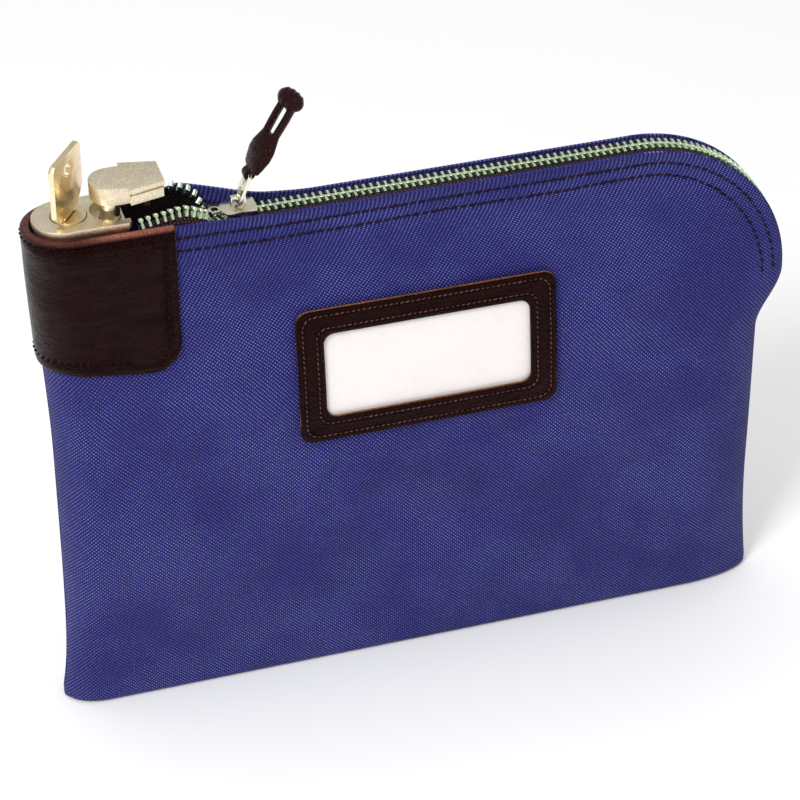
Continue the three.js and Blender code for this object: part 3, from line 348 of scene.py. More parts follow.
def bevelled_copy(node, name, material, body, width, segments=2, crease=28):
    """The solid's own shape with its edges rounded, marked where they catch wear."""
    work = bmesh.new()
    work.from_mesh(frame["nodes"][node].data)
    bmesh.ops.remove_doubles(work, verts=work.verts, dist=2e-6)
    bmesh.ops.dissolve_limit(work, angle_limit=math.radians(1.5), verts=work.verts, edges=work.edges)
    sharp = [e for e in work.edges if len(e.link_faces) == 2 and e.calc_face_angle(0) > math.radians(crease)]
    made = bmesh.ops.bevel(
        work, geom=sharp, offset=width * MM, segments=segments, profile=0.6, affect="EDGES", clamp_overlap=True
    )
    wear = work.verts.layers.float.new("worn_edge")
    for vert in made["verts"]:
        if vert.is_valid:
            vert[wear] = 1.0
    mesh = bpy.data.meshes.new(name)
    bmesh.ops.triangulate(work, faces=[f for f in work.faces if len(f.verts) > 4])
    work.to_mesh(mesh)
    work.free()
    mesh.polygons.foreach_set("use_smooth", [True] * len(mesh.polygons))
    mesh.set_sharp_from_angle(angle=math.radians(crease))
    piece = placed(name, mesh, material, body)
    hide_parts(node)
    return piece


# ---- Rows of small repeated things, laid along a path --------------------------------------------
def row_tree():
    """Copies of a shape along a path, each turned to lie along it with its back to the surface."""
    name = "Row along a path"
    if name in bpy.data.node_groups:
        return bpy.data.node_groups[name]
    tree = bpy.data.node_groups.new(name, "GeometryNodeTree")
    for label, kind in (
        ("Geometry", "Geometry"), ("Shape", "Object"), ("Pitch", "Float"), ("Stretch", "Vector"),
        ("Unevenness", "Float"), ("Seed", "Int"), ("Material", "Material"),
    ):
        tree.interface.new_socket(label, in_out="INPUT", socket_type=f"NodeSocket{kind}")
    tree.interface.new_socket("Geometry", in_out="OUTPUT", socket_type="NodeSocketGeometry")
    new = tree.nodes.new
    link = tree.links.new
    given, out = new("NodeGroupInput"), new("NodeGroupOutput")
    curve, resample = new("GeometryNodeMeshToCurve"), new("GeometryNodeResampleCurve")
    resample.mode = "LENGTH"
    link(given.outputs["Geometry"], curve.inputs["Mesh"])
    link(curve.outputs["Curve"], resample.inputs["Curve"])
    link(given.outputs["Pitch"], resample.inputs["Length"])
    shape = new("GeometryNodeObjectInfo")
    link(given.outputs["Shape"], shape.inputs["Object"])
    outwards = new("GeometryNodeInputNamedAttribute")
    outwards.data_type = "FLOAT_VECTOR"
    outwards.inputs["Name"].default_value = "outwards"
    tangent = new("GeometryNodeInputTangent")
    lay, stand = new("FunctionNodeAlignRotationToVector"), new("FunctionNodeAlignRotationToVector")
    lay.axis, stand.axis, stand.pivot_axis = "X", "Z", "X"
    link(tangent.outputs["Tangent"], lay.inputs["Vector"])
    link(lay.outputs["Rotation"], stand.inputs["Rotation"])
    link(outwards.outputs["Attribute"], stand.inputs["Vector"])
    chance = new("FunctionNodeRandomValue")
    chance.data_type = "FLOAT"
    lowest, highest = [s for s in chance.inputs if s.enabled and s.name in ("Min", "Max")]
    link(maths(tree, "SUBTRACT", 1.0, given.outputs["Unevenness"]), lowest)
    link(maths(tree, "ADD", 1.0, given.outputs["Unevenness"]), highest)
    link(given.outputs["Seed"], chance.inputs["Seed"])
    size = new("ShaderNodeVectorMath")
    size.operation = "SCALE"
    link(given.outputs["Stretch"], size.inputs[0])
    link([s for s in chance.outputs if s.enabled][0], size.inputs["Scale"])
    copies = new("GeometryNodeInstanceOnPoints")
    link(resample.outputs["Curve"], copies.inputs["Points"])
    link(shape.outputs["Geometry"], copies.inputs["Instance"])
    link(stand.outputs["Rotation"], copies.inputs["Rotation"])
    link(size.outputs["Vector"], copies.inputs["Scale"])
    real, dress = new("GeometryNodeRealizeInstances"), new("GeometryNodeSetMaterial")
    link(copies.outputs["Instances"], real.inputs["Geometry"])
    link(real.outputs["Geometry"], dress.inputs["Geometry"])
    link(given.outputs["Material"], dress.inputs["Material"])
    link(dress.outputs["Geometry"], out.inputs["Geometry"])
    return tree


def input_id(tree, name):
    for item in tree.interface.items_tree:
        if item.item_type == "SOCKET" and item.in_out == "INPUT" and item.name == name:
            return item.identifier
    raise KeyError(name)


def row_along(name, paths, shape, pitch, stretch, unevenness, seed, material, body):
    """paths: lists of (points, outward directions) in millimetres; one plain mesh of the whole row."""
    points, ways, edges = [], [], []
    for path, outwards in paths:
        start = len(points)
        points += [tuple(p) for p in np.asarray(path) * MM]
        ways += [tuple(v) for v in outwards]
        edges += [(start + i, start + i + 1) for i in range(len(path) - 1)]
    guide = bpy.data.meshes.new(name)
    guide.from_pydata(points, edges, [])
    layer = guide.attributes.new("outwards", "FLOAT_VECTOR", "POINT")
    layer.data.foreach_set("vector", np.asarray(ways, np.float32).ravel())
    piece = bpy.data.objects.new(name, guide)
    bpy.context.collection.objects.link(piece)
    tree = row_tree()
    row = piece.modifiers.new("Row", "NODES")
    row.node_group = tree
    for label, value in (
        ("Shape", shape), ("Pitch", pitch * MM), ("Stretch", stretch), ("Unevenness", unevenness),
        ("Seed", seed), ("Material", material),
    ):
        row[input_id(tree, label)] = value
    settled = piece.evaluated_get(bpy.context.evaluated_depsgraph_get())
    mesh = bpy.data.meshes.new_from_object(settled)
    piece.modifiers.remove(row)
    piece.data = mesh
    mesh.name = name
    mesh.materials.clear()
    mesh.materials.append(material)
    mesh.polygons.foreach_set("use_smooth", [True] * len(mesh.polygons))
    mesh.polygons.foreach_set("material_index", [0] * len(mesh.polygons))
    mesh.set_sharp_from_angle(angle=math.radians(40))
    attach(piece, body)
    return piece


def helper(name, build):
    """A small shape, in metres, that rows are made of and that is removed afterwards."""
    work = bmesh.new()
    build(work)
    mesh = bpy.data.meshes.new(name)
    work.to_mesh(mesh)
    work.free()
    shape = bpy.data.objects.new(name, mesh)
    bpy.context.collection.objects.link(shape)
    return shape


def drop(shape):
    mesh = shape.data
    bpy.data.objects.remove(shape)
    bpy.data.meshes.remove(mesh)


def stitch_shape(work):
    """One stitch, 1 long and 1 wide: a plump thread that dips at both ends."""
    rings = [(-0.5, 0.12, -0.35), (-0.36, 0.42, 0.0), (0.0, 0.5, 0.18), (0.36, 0.42, 0.0), (0.5, 0.12, -0.35)]
    join_rings(work, [
        [
            work.verts.new((x * MM, (0.5 * x + radius * math.cos(a)) * MM, (lift + radius * math.sin(a)) * MM))
            for a in full_turn(6)
        ]
        for x, radius, lift in rings
    ])
    bmesh.ops.recalc_face_normals(work, faces=work.faces)


def tooth_shape(work):
    """One zipper tooth: legs over the tape's cord at 0, its head reaching past the middle of the chain."""
    side = [(0.56, -0.2), (0.56, 1.5), (0.4, 1.9), (0.42, 2.3), (0.82, 2.65), (0.8, 3.3), (0.4, 3.6)]
    outline = side + [(-x, y) for x, y in reversed(side)]
    levels = [(-1.28, 0.84), (-1.1, 1.0), (1.1, 1.0), (1.3, 0.8)]
    middle = 1.7
    join_rings(work, [
        [
            work.verts.new((x * share * MM, (middle + (y - middle) * (share * 0.5 + 0.5)) * MM, z * MM))
            for x, y in outline
        ]
        for z, share in levels
    ])
    bmesh.ops.recalc_face_normals(work, faces=work.faces)


# ---- Shared shader groups ------------------------------------------------------------------------
def node_group(name, inputs, outputs):
    """A shader group that reads a place and some values, and gives masks and heights."""
    tree = bpy.data.node_groups.new(name, "ShaderNodeTree")
    tree.interface.new_socket("Vector", in_out="INPUT", socket_type="NodeSocketVector")
    for label, value in inputs:
        tree.interface.new_socket(label, in_out="INPUT", socket_type="NodeSocketFloat").default_value = value
    for label in outputs:
        tree.interface.new_socket(label, in_out="OUTPUT", socket_type="NodeSocketFloat")
    return tree, tree.nodes.new("NodeGroupInput"), tree.nodes.new("NodeGroupOutput")


def maths(tree, operation, *values):
    node = tree.nodes.new("ShaderNodeMath")
    node.operation = operation
    for socket, value in zip(node.inputs, values):
        if isinstance(value, (int, float)):
            socket.default_value = value
        else:
            tree.links.new(value, socket)
    return node.outputs[0]


def vector_maths(tree, operation, *values):
    node = tree.nodes.new("ShaderNodeVectorMath")
    node.operation = operation
    for socket, value in zip(node.inputs, values):
        if isinstance(value, tuple):
            socket.default_value = value
        else:
            tree.links.new(value, socket)
    return node.outputs[0]


def noise_at(tree, vector, scale, detail=2.0, roughness=0.5):
    node = tree.nodes.new("ShaderNodeTexNoise")
    node.inputs["Scale"].default_value = scale
    node.inputs["Detail"].default_value = detail
    node.inputs["Roughness"].default_value = roughness
    tree.links.new(vector, node.inputs["Vector"])
    return node.outputs["Fac"]


def ramp(tree, value, low, high, low_to=0.0, high_to=1.0):
    node = tree.nodes.new("ShaderNodeMapRange")
    node.interpolation_type = "SMOOTHSTEP"
    for label, number in (("From Min", low), ("From Max", high), ("To Min", low_to), ("To Max", high_to)):
        node.inputs[label].default_value = number
    tree.links.new(value, node.inputs["Value"])
    return node.outputs["Result"]


def weave_group():
    """Plain weave: height, where a painted highlight lights the crowns of the threads and where painted shade
    darkens the gaps between them.
    """
    sockets = [("Thread pitch", 0.00065), ("Slub", 0.3)]
    tree, given, out = node_group("Plain weave", sockets, ["Height", "Fleck", "Gap", "Drift"])
    vector = given.outputs["Vector"]
    wander = tree.nodes.new("ShaderNodeTexNoise")
    wander.inputs["Scale"].default_value = 260.0
    tree.links.new(vector, wander.inputs["Vector"])
    moved = vector_maths(tree, "SUBTRACT", wander.outputs["Color"], (0.5, 0.5, 0.5))
    shift = tree.nodes.new("ShaderNodeVectorMath")
    shift.operation = "SCALE"
    tree.links.new(moved, shift.inputs[0])
    reach = maths(tree, "MULTIPLY", given.outputs["Thread pitch"], given.outputs["Slub"])
    tree.links.new(reach, shift.inputs["Scale"])
    spot = vector_maths(tree, "ADD", vector, shift.outputs["Vector"])
    parts = tree.nodes.new("ShaderNodeSeparateXYZ")
    tree.links.new(spot, parts.inputs[0])
    u = maths(tree, "DIVIDE", parts.outputs["X"], given.outputs["Thread pitch"])
    v = maths(tree, "DIVIDE", parts.outputs["Y"], given.outputs["Thread pitch"])
    wave_u = maths(tree, "COSINE", maths(tree, "MULTIPLY", u, math.pi))
    wave_v = maths(tree, "COSINE", maths(tree, "MULTIPLY", v, math.pi))
    cross = maths(tree, "MULTIPLY", wave_u, wave_v)
    height = maths(tree, "ABSOLUTE", cross)
    tree.links.new(maths(tree, "POWER", height, 0.6), out.inputs["Height"])
    uneven = ramp(tree, noise_at(tree, vector, 900.0, 3.0), 0.3, 0.7, 0.45, 1.0)
    # Where the crowns of the threads get their painted highlight
    tree.links.new(maths(tree, "MULTIPLY", ramp(tree, cross, 0.25, 0.85), uneven), out.inputs["Fleck"])
    # Where the gaps between the threads get painted shade
    tree.links.new(ramp(tree, cross, -0.15, -0.9), out.inputs["Gap"])
    tree.links.new(noise_at(tree, vector, 22.0, 4.0, 0.6), out.inputs["Drift"])
    return tree


def grain_group():
    """Leather grain: pebbled cells, fine pores and long soft creases."""
    sockets = [("Cells per metre", 900.0), ("Crease", 0.5)]
    tree, given, out = node_group("Leather grain", sockets, ["Height", "Valley", "Mottle"])
    vector = given.outputs["Vector"]
    cells = tree.nodes.new("ShaderNodeTexVoronoi")
    cells.feature = "DISTANCE_TO_EDGE"
    stretched = vector_maths(tree, "MULTIPLY", vector, (0.7, 1.0, 1.25))
    tree.links.new(stretched, cells.inputs["Vector"])
    tree.links.new(given.outputs["Cells per metre"], cells.inputs["Scale"])
    valley = ramp(tree, cells.outputs["Distance"], 0.16, 0.0)
    pores = noise_at(tree, vector, 3200.0, 2.0)
    drawn = vector_maths(tree, "MULTIPLY", vector, (0.22, 0.6, 1.6))
    creases = ramp(tree, noise_at(tree, drawn, 260.0, 4.0, 0.6), 0.42, 0.62)
    height = maths(tree, "SUBTRACT", maths(tree, "MULTIPLY", pores, 0.35), valley)
    height = maths(tree, "ADD", height, maths(tree, "MULTIPLY", creases, given.outputs["Crease"]))
    tree.links.new(height, out.inputs["Height"])
    tree.links.new(valley, out.inputs["Valley"])
    tree.links.new(noise_at(tree, vector, 60.0, 5.0, 0.65), out.inputs["Mottle"])
    return tree


def wear_group():
    """Handled metal: rubbed edges, a satin grain, fine scratches and a faint tarnish in the drift."""
    outputs = ["Edge", "Grain", "Scratch", "Tarnish"]
    tree, given, out = node_group("Handled metal", [("Scratches", 0.5)], outputs)
    vector = given.outputs["Vector"]
    mark = tree.nodes.new("ShaderNodeAttribute")
    mark.attribute_name = "worn_edge"
    rubbed = ramp(tree, noise_at(tree, vector, 900.0, 3.0), 0.25, 0.6, 0.35, 1.0)
    tree.links.new(maths(tree, "MULTIPLY", mark.outputs["Fac"], rubbed), out.inputs["Edge"])
    tree.links.new(noise_at(tree, vector, 2600.0, 3.0, 0.7), out.inputs["Grain"])
    drawn = vector_maths(tree, "MULTIPLY", vector, (0.25, 2.6, 1.0))
    scratch = ramp(tree, noise_at(tree, drawn, 1300.0, 2.0), 0.63, 0.7)
    tree.links.new(maths(tree, "MULTIPLY", scratch, given.outputs["Scratches"]), out.inputs["Scratch"])
    tree.links.new(ramp(tree, noise_at(tree, vector, 170.0, 4.0), 0.4, 0.72), out.inputs["Tarnish"])
    return tree


def dust_group():
    """A little dust and lint that gathers in the hollows and drifts of a soft surface."""
    tree, given, out = node_group("Dust", [("Amount", 0.1)], ["Mask"])
    vector = given.outputs["Vector"]
    specks = ramp(tree, noise_at(tree, vector, 1500.0, 2.0), 0.66, 0.74)
    drift = ramp(tree, noise_at(tree, vector, 45.0, 3.0), 0.4, 0.7, 0.2, 1.0)
    lint = maths(tree, "MULTIPLY", specks, drift)
    tree.links.new(maths(tree, "MULTIPLY", lint, given.outputs["Amount"]), out.inputs["Mask"])
    return tree


GROUPS = {"weave": weave_group, "grain": grain_group, "wear": wear_group, "dust": dust_group}
made_groups = {}


def use_group(tree, kind, vector, **values):
    if kind not in made_groups:
        made_groups[kind] = GROUPS[kind]()
    node = tree.nodes.new("ShaderNodeGroup")
    node.node_tree = made_groups[kind]
    tree.links.new(vector, node.inputs["Vector"])
    for label, value in values.items():
        node.inputs[label.replace("_", " ")].default_value = value
    return node.outputs


def mix(tree, share, first, second):
    node = tree.nodes.new("ShaderNodeMix")
    node.data_type = "RGBA"
    colour_a, colour_b = [s for s in node.inputs if s.enabled and s.name in ("A", "B")]
    for socket, value in ((colour_a, first), (colour_b, second)):
        if hasattr(value, "is_output"):
            tree.links.new(value, socket)
        else:
            socket.default_value = (*value[:3], 1.0)
    tree.links.new(share, node.inputs["Factor"])
    return [s for s in node.outputs if s.enabled][0]


def material(name, roughness, metallic=0.0, **constants):
    """A new material, its tree, its shader and the place that patterns are read from."""
    made = bpy.data.materials.new(name)
    made.use_nodes = True
    tree = made.node_tree
    shader = tree.nodes["Principled BSDF"]
    shader.inputs["Roughness"].default_value = roughness
    shader.inputs["Metallic"].default_value = metallic
    for label, value in constants.items():
        shader.inputs[label.replace("_", " ")].default_value = value
    place = tree.nodes.new("ShaderNodeTexCoord")
    return made, tree, shader, place


def bump(tree, shader, height, distance, strength=1.0):
    node = tree.nodes.new("ShaderNodeBump")
    node.inputs["Distance"].default_value = distance
    node.inputs["Strength"].default_value = strength
    tree.links.new(height, node.inputs["Height"])
    tree.links.new(node.outputs["Normal"], shader.inputs["Normal"])


def attribute(tree, name):
    node = tree.nodes.new("ShaderNodeAttribute")
    node.attribute_name = name
    return node.outputs["Fac"]


def shade(colour, factor):
    return tuple(min(1.0, c * factor) for c in colour[:3])


def cloth_material(name, colour, highlight, pitch, roughness, highlight_share, slub=0.3):
    made, tree, shader, place = material(
        name, roughness, Sheen_Weight=0.05, Sheen_Roughness=0.5, Specular_IOR_Level=0.15)
    weave = use_group(tree, "weave", place.outputs["UV"], Thread_pitch=pitch, Slub=slub)
    drift = ramp(tree, weave["Drift"], 0.3, 0.7)
    ground = mix(tree, drift, shade(colour, 0.9), shade(colour, 1.1))
    # Painted shade darkens the gaps between the threads
    gap_shaded = mix(tree, maths(tree, "MULTIPLY", weave["Gap"], 0.6), ground, shade(colour, 0.42))
    # A painted highlight lightens the crowns of the threads, stronger in patches
    patchy = ramp(tree, weave["Drift"], 0.35, 0.65, highlight_share * 0.45, highlight_share)
    light = mix(tree, maths(tree, "MULTIPLY", weave["Fleck"], patchy), gap_shaded, highlight)
    dust = use_group(tree, "dust", place.outputs["Object"], Amount=0.16)
    tree.links.new(mix(tree, dust["Mask"], light, (0.62, 0.62, 0.66)), shader.inputs["Base Color"])
    rough = ramp(tree, weave["Fleck"], 0.0, 1.0, roughness, roughness - 0.16)
    tree.links.new(rough, shader.inputs["Roughness"])
    bump(tree, shader, weave["Height"], pitch * 0.3, 0.7)
    return made


LEATHER_SHEEN = (1.0, 0.3, 0.28, 1.0)  # the tint of the light that the leather throws back


def leather_material(name, colour, edge, roughness, cells, crease, gloss, lip=None):
    made, tree, shader, place = material(
        name, roughness, Specular_IOR_Level=gloss, Specular_Tint=LEATHER_SHEEN)
    grain = use_group(tree, "grain", place.outputs["Object"], Cells_per_metre=cells, Crease=crease)
    mottle = ramp(tree, grain["Mottle"], 0.3, 0.72)
    ground = mix(tree, mottle, shade(colour, 0.6), shade(colour, 1.5))
    # Painted shade darkens the valleys of the grain
    with_painted_light = mix(tree, maths(tree, "MULTIPLY", grain["Valley"], 0.5), ground, shade(colour, 0.35))
    # The turned lip gets a painted highlight on its upward face, patchy with the mottle
    if lip:
        uneven_highlight = ramp(tree, grain["Mottle"], 0.2, 0.5, 0.65, 1.0)
        turned = maths(tree, "MULTIPLY", attribute(tree, "lip"), uneven_highlight)
        with_painted_light = mix(tree, turned, with_painted_light, lip)
    raw = maths(tree, "MULTIPLY", attribute(tree, "cut_edge"), ramp(tree, grain["Mottle"], 0.25, 0.6, 0.6, 1.0))
    tree.links.new(mix(tree, raw, with_painted_light, edge), shader.inputs["Base Color"])
    uneven = ramp(tree, grain["Mottle"], 0.3, 0.7, roughness - 0.08, roughness + 0.1)
    rough = maths(tree, "MAXIMUM", uneven, maths(tree, "MULTIPLY", attribute(tree, "cut_edge"), 0.85))
    tree.links.new(rough, shader.inputs["Roughness"])
    bump(tree, shader, grain["Height"], 0.0005, 1.0)
    return made


def metal_material(name, colour, roughness, scratches=0.5, tarnish=0.5, grain_depth=0.00001, speckle=0.1):
    made, tree, shader, place = material(name, roughness, 1.0)
    wear = use_group(tree, "wear", place.outputs["Object"], Scratches=scratches)
    spotted = ramp(tree, wear["Grain"], 0.36, 0.64)
    sandy = mix(tree, spotted, shade(colour, 1 - speckle), shade(colour, 1 + speckle / 2))
    dull = mix(tree, maths(tree, "MULTIPLY", wear["Tarnish"], tarnish), sandy, shade(colour, 0.55))
    bright = mix(tree, wear["Edge"], dull, shade(colour, 1.35))
    tree.links.new(bright, shader.inputs["Base Color"])
    rough = ramp(tree, wear["Grain"], 0.3, 0.7, roughness - 0.05, roughness + 0.07)
    rough = maths(tree, "ADD", rough, maths(tree, "MULTIPLY", wear["Scratch"], 0.14))
    rough = maths(tree, "SUBTRACT", rough, maths(tree, "MULTIPLY", wear["Edge"], 0.1))
    tree.links.new(rough, shader.inputs["Roughness"])
    height = maths(tree, "SUBTRACT", wear["Grain"], wear["Scratch"])
    bump(tree, shader, height, grain_depth, 0.6)
    return made


def thread_material(name, colour):
    made, tree, shader, place = material(name, 0.65, Specular_IOR_Level=0.12)
    twist = tree.nodes.new("ShaderNodeTexWave")
    twist.inputs["Scale"].default_value = 900.0
    twist.inputs["Distortion"].default_value = 2.0
    tree.links.new(place.outputs["Object"], twist.inputs["Vector"])
    drift = noise_at(tree, place.outputs["Object"], 300.0, 3.0)
    uneven = mix(tree, ramp(tree, drift, 0.35, 0.65), shade(colour, 0.6), shade(colour, 1.4))
    tree.links.new(uneven, shader.inputs["Base Color"])
    bump(tree, shader, twist.outputs["Fac"], 0.00005)
    return made


def card_material(name, colour):
    made, tree, shader, place = material(name, 0.8, Specular_IOR_Level=0.3)
    fibre = noise_at(tree, place.outputs["Object"], 900.0, 5.0, 0.7)
    soil = ramp(tree, noise_at(tree, place.outputs["Object"], 40.0, 4.0), 0.45, 0.8, 0.0, 0.35)
    ground = mix(tree, ramp(tree, fibre, 0.3, 0.7), shade(colour, 0.97), shade(colour, 1.0))
    tree.links.new(mix(tree, soil, ground, shade(colour, 0.93)), shader.inputs["Base Color"])
    bump(tree, shader, fibre, 0.00003, 0.5)
    return made


def window_material(name, clearness):
    made, tree, shader, place = material(
        name, 0.18, Specular_IOR_Level=0.5, Base_Color=(0.95, 0.96, 0.98, 1.0))
    cloud = noise_at(tree, place.outputs["Object"], 120.0, 4.0)
    haze = ramp(tree, cloud, 0.4, 0.75, clearness, clearness + 0.05)
    tree.links.new(haze, shader.inputs["Alpha"])
    ripple = noise_at(tree, place.outputs["Object"], 70.0, 2.0)
    bump(tree, shader, ripple, 0.0002, 0.3)
    return made


# Each metal: its colour's name, roughness, scratches, tarnish, depth of the grain, speckle
METALS = {
    "satin": ("satin_plate", "satin", 0.36, 0.5, 0.25, 0.00003, 0.3),
    "bright": ("bright_plate", "bright", 0.2, 0.4, 0.2, 0.000004),
    "teeth": ("zipper_brass", "teeth", 0.28, 0.2, 0.4, 0.000006),
    "key": ("key_brass", "key", 0.22, 0.6, 0.35, 0.000005),
    "steel": ("spring_steel", "steel", 0.3, 0.3, 0.3),
}
THREADS = {"seam_thread": "thread", "label_thread": "label_thread", "patch_thread": "patch_thread"}


def cloth_finish(kind, colours):
    """Name, ground, painted highlight on the thread crowns, thread pitch, roughness, share of that highlight,
    slub.
    """
    return cloth_material(*{
        "nylon": ("woven_nylon", colours.cloth, colours.cloth_fleck, 0.0008, 0.8, 0.9),
        "tape": ("zipper_tape", colours.tape, colours.tape_highlight, 0.0007, 0.85, 0.9, 0.9),
        "binding": ("seam_binding", shade(colours.cloth, 0.5), colours.cloth, 0.0008, 0.9, 0.5),
    }[kind])


def leather_finish(kind, colours):
    """Name, colour, raw edge, roughness, grain cells per metre, crease, gloss, painted highlight of the turned
    lip.
    """
    hide, raw, lip = colours.leather, colours.cut_edge, colours.lip
    return leather_material(*{
        "patch": ("patch_leather", hide, raw, 0.2, 1150.0, 0.8, 0.16, lip),
        "frame": ("frame_leather", hide, raw, 0.28, 1000.0, 1.1, 0.14),
        "pull": ("pull_leather", colours.pull, shade(colours.pull, 1.3), 0.24, 1300.0, 0.5, 0.4),
        # The lining takes the lip's colour as its own colour
        "lining": ("lining_leather", lip, lip, 0.5, 1500.0, 0.3, 0.15),
    }[kind])


finishes = {}


def finish_of(kind):
    """The named finish, made the first time that a piece asks for it."""
    if kind not in finishes:
        colours = bpy.context.scene.deposit_bag_colours
        if kind in ("nylon", "tape", "binding"):
            made = cloth_finish(kind, colours)
        elif kind in ("patch", "frame", "pull", "lining"):
            made = leather_finish(kind, colours)
        elif kind in METALS:
            name, colour_name, *rest = METALS[kind]
            made = metal_material(name, getattr(colours, colour_name), *rest)
        elif kind == "card":
            made = card_material("label_card", colours.card)
        elif kind == "window":
            made = window_material("clear_vinyl", WINDOW_CLEARNESS)
        else:
            made = thread_material(kind, getattr(colours, THREADS[kind]))
        finishes[kind] = made
    return finishes[kind]


# ---- What a user may change ----------------------------------------------------------------------
def length(name, description, default):
    return FloatProperty(
        name=name, description=description, default=default, min=0.0, unit="LENGTH", precision=5)


def colour(name, description, default):
    return FloatVectorProperty(
        name=name, description=description, default=default, size=3, subtype="COLOR", min=0.0, max=1.0)


class DepositBagSizes(bpy.types.PropertyGroup):
    slack: FloatProperty(
        name="Slack", description="How much the cloth billows between its seams", default=1.0, min=0.0, max=1.5)
    row_near: length("First seam row", "From the rim to the first row of stitches", 0.0047)
    row_far: length("Second seam row", "From the rim to the second row of stitches", 0.0096)
    stitch_pitch: length("Stitch pitch", "From one stitch to the next along the zipper", 0.0035)
    stitch_length: length("Stitch length", "Length of one stitch along the zipper", 0.0033)
    fine_pitch: length("Fine stitch pitch", "From one stitch to the next in the leather", 0.0027)
    thread: length("Thread", "Thickness of the sewing thread", 0.0009)
    tooth_pitch: length("Tooth pitch", "From one tooth to the next on the same tape", 0.00264)
    metal_edge: length("Metal edge", "How far the edges of the metal pieces are rounded", 0.0003)
    seed: IntProperty(name="Seed", description="Start of the small unevenness in the stitching", default=7)


class DepositBagColours(bpy.types.PropertyGroup):
    cloth: colour("Cloth", "Woven nylon", (0.0125, 0.0105, 0.15))
    # The cloth's highlight colour is a painted highlight on the crowns of its threads
    cloth_fleck: colour("Cloth fleck", "Light caught by the crowns of its threads", (0.27, 0.31, 0.5))
    leather: colour("Leather", "Patch and label frame", (0.007, 0.0014, 0.0012))
    # On the turned lip this colour is a painted highlight on its upward face; on the lining it is the lining's
    # own colour
    lip: colour("Turned lip", "Leather turned over the rim, and the lining", (0.36, 0.13, 0.095))
    cut_edge: colour("Cut edge", "Raw edge of the leather", (0.3, 0.12, 0.045))
    pull: colour("Pull", "Leather of the zipper pull", (0.0035, 0.0018, 0.0022))
    # The tape's highlight colour is a painted highlight on the crowns of its threads
    tape: colour("Tape", "Zipper tape", (0.011, 0.0045, 0.0055))
    tape_highlight: colour("Tape fleck", "Painted highlight on the crowns of the tape's threads", (0.2, 0.12, 0.13))
    teeth: colour("Teeth", "Zipper teeth", (0.8, 0.95, 0.7))
    satin: colour("Satin metal", "Lock plate and head", (1.0, 0.81, 0.6))
    bright: colour("Bright metal", "Slider and its tab", (0.9, 0.86, 0.7))
    key: colour("Key", "Key and its plug", (0.95, 0.78, 0.5))
    steel: colour("Steel", "Springs, screws and bolt", (0.5, 0.5, 0.5))
    card: colour("Card", "Label card", (0.93, 0.87, 0.85))
    thread: colour("Seam thread", "Stitches in the cloth", (0.013, 0.006, 0.008))
    label_thread: colour("Label thread", "Stitches in the label's frame", (0.1, 0.045, 0.04))
    patch_thread: colour("Patch thread", "Stitches in the lock patch", (0.004, 0.0014, 0.0014))


def sizes():
    return bpy.context.scene.deposit_bag_sizes


# ---- Cloth ---------------------------------------------------------------------------------------
def panel_rows():
    """Heights of the wall's rows above its fold, evenly spaced along the edge where it turns a corner."""
    low = np.linspace(BASE_FOLD, SHOULDER, 66)
    shoulder = np.linspace(SHOULDER, CORNER_Z, 16)[1:]
    corner = CORNER_Z + CORNER_RADIUS * np.sin(np.linspace(0, math.pi / 2, 60))[1:]
    return np.concatenate([low, shoulder, corner])


def panel_grid(side, inset, relief):
    columns = np.concatenate([
        np.linspace(0, LEFT_SHARE, 25)[:-1],
        np.linspace(LEFT_SHARE, 1 - RIGHT_SHARE, 131),
        np.linspace(1 - RIGHT_SHARE, 1, 35)[1:],
    ])
    heights = panel_rows()
    across, z = np.meshgrid(columns, heights)
    x, half, closing, lifted = pouch_point(across, z, inset)
    if relief is not None:
        half = half + relief(x, z, closing)
    lifted = lifted + rim_slack(x, z, side)
    spread = FOOT_SPREAD * np.exp(-z / 20) * (1 - smooth(BAG_LEFT, BAG_LEFT + 30, x))
    wall = np.stack([x - spread, side * half, lifted], axis=-1)
    foot = wall[0]
    foot_half = np.abs(foot[:, 1])
    fold = np.minimum(BASE_FOLD, 0.6 * foot_half)
    lap = -BASE_LAP if side < 0 else BASE_LAP + 2 * GAP
    start = lerp(SEAM_GAP, lap, closing[0])
    rows = []
    for share in (0, 0.25, 0.5, 0.75, 1):
        level = np.full(len(columns), float(inset))
        rows.append(np.stack([foot[:, 0], side * lerp(start, foot_half - fold, share), level], axis=-1))
    for turn in np.radians([22.5, 45, 67.5]):
        level = np.full(len(columns), inset + (BASE_FOLD - inset) * (1 - np.cos(turn)))
        out = side * (foot_half - fold + fold * np.sin(turn))
        rows.append(np.stack([foot[:, 0], out, level], axis=-1))
    return np.concatenate([np.stack(rows), wall])


class DEPOSITBAG_OT_pouch(bpy.types.Operator):
    """Sew the front and rear panels of woven nylon, with slack, creases and puckered seams"""
    bl_idname = "depositbag.pouch"
    bl_label = "Cloth pouch"

    def execute(self, context):
        for node, side in (("front_panel", -1), ("rear_panel", 1)):
            def relief(x, z, closing):
                return cloth_relief(x, z, side, sizes()) * closing
            outer, inner = panel_grid(side, 0.0, relief), panel_grid(side, FABRIC, relief)
            points, faces, uv, marks = shell(outer, inner, grid_uv(outer), rounding=(30, 90, 150))
            piece = finished(f"cloth_{node}", points, faces, finish_of("nylon"), "bag", uv)
            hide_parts(node)
        binding = bevelled_copy("seam_binding", "bound_seam", finish_of("binding"), "bag", 0.4)
        flat = binding.data.uv_layers.new(name="surface")
        for loop in binding.data.loops:
            spot = binding.data.vertices[loop.vertex_index].co
            flat.data[loop.index].uv = (spot.x, spot.z)
        return {"FINISHED"}


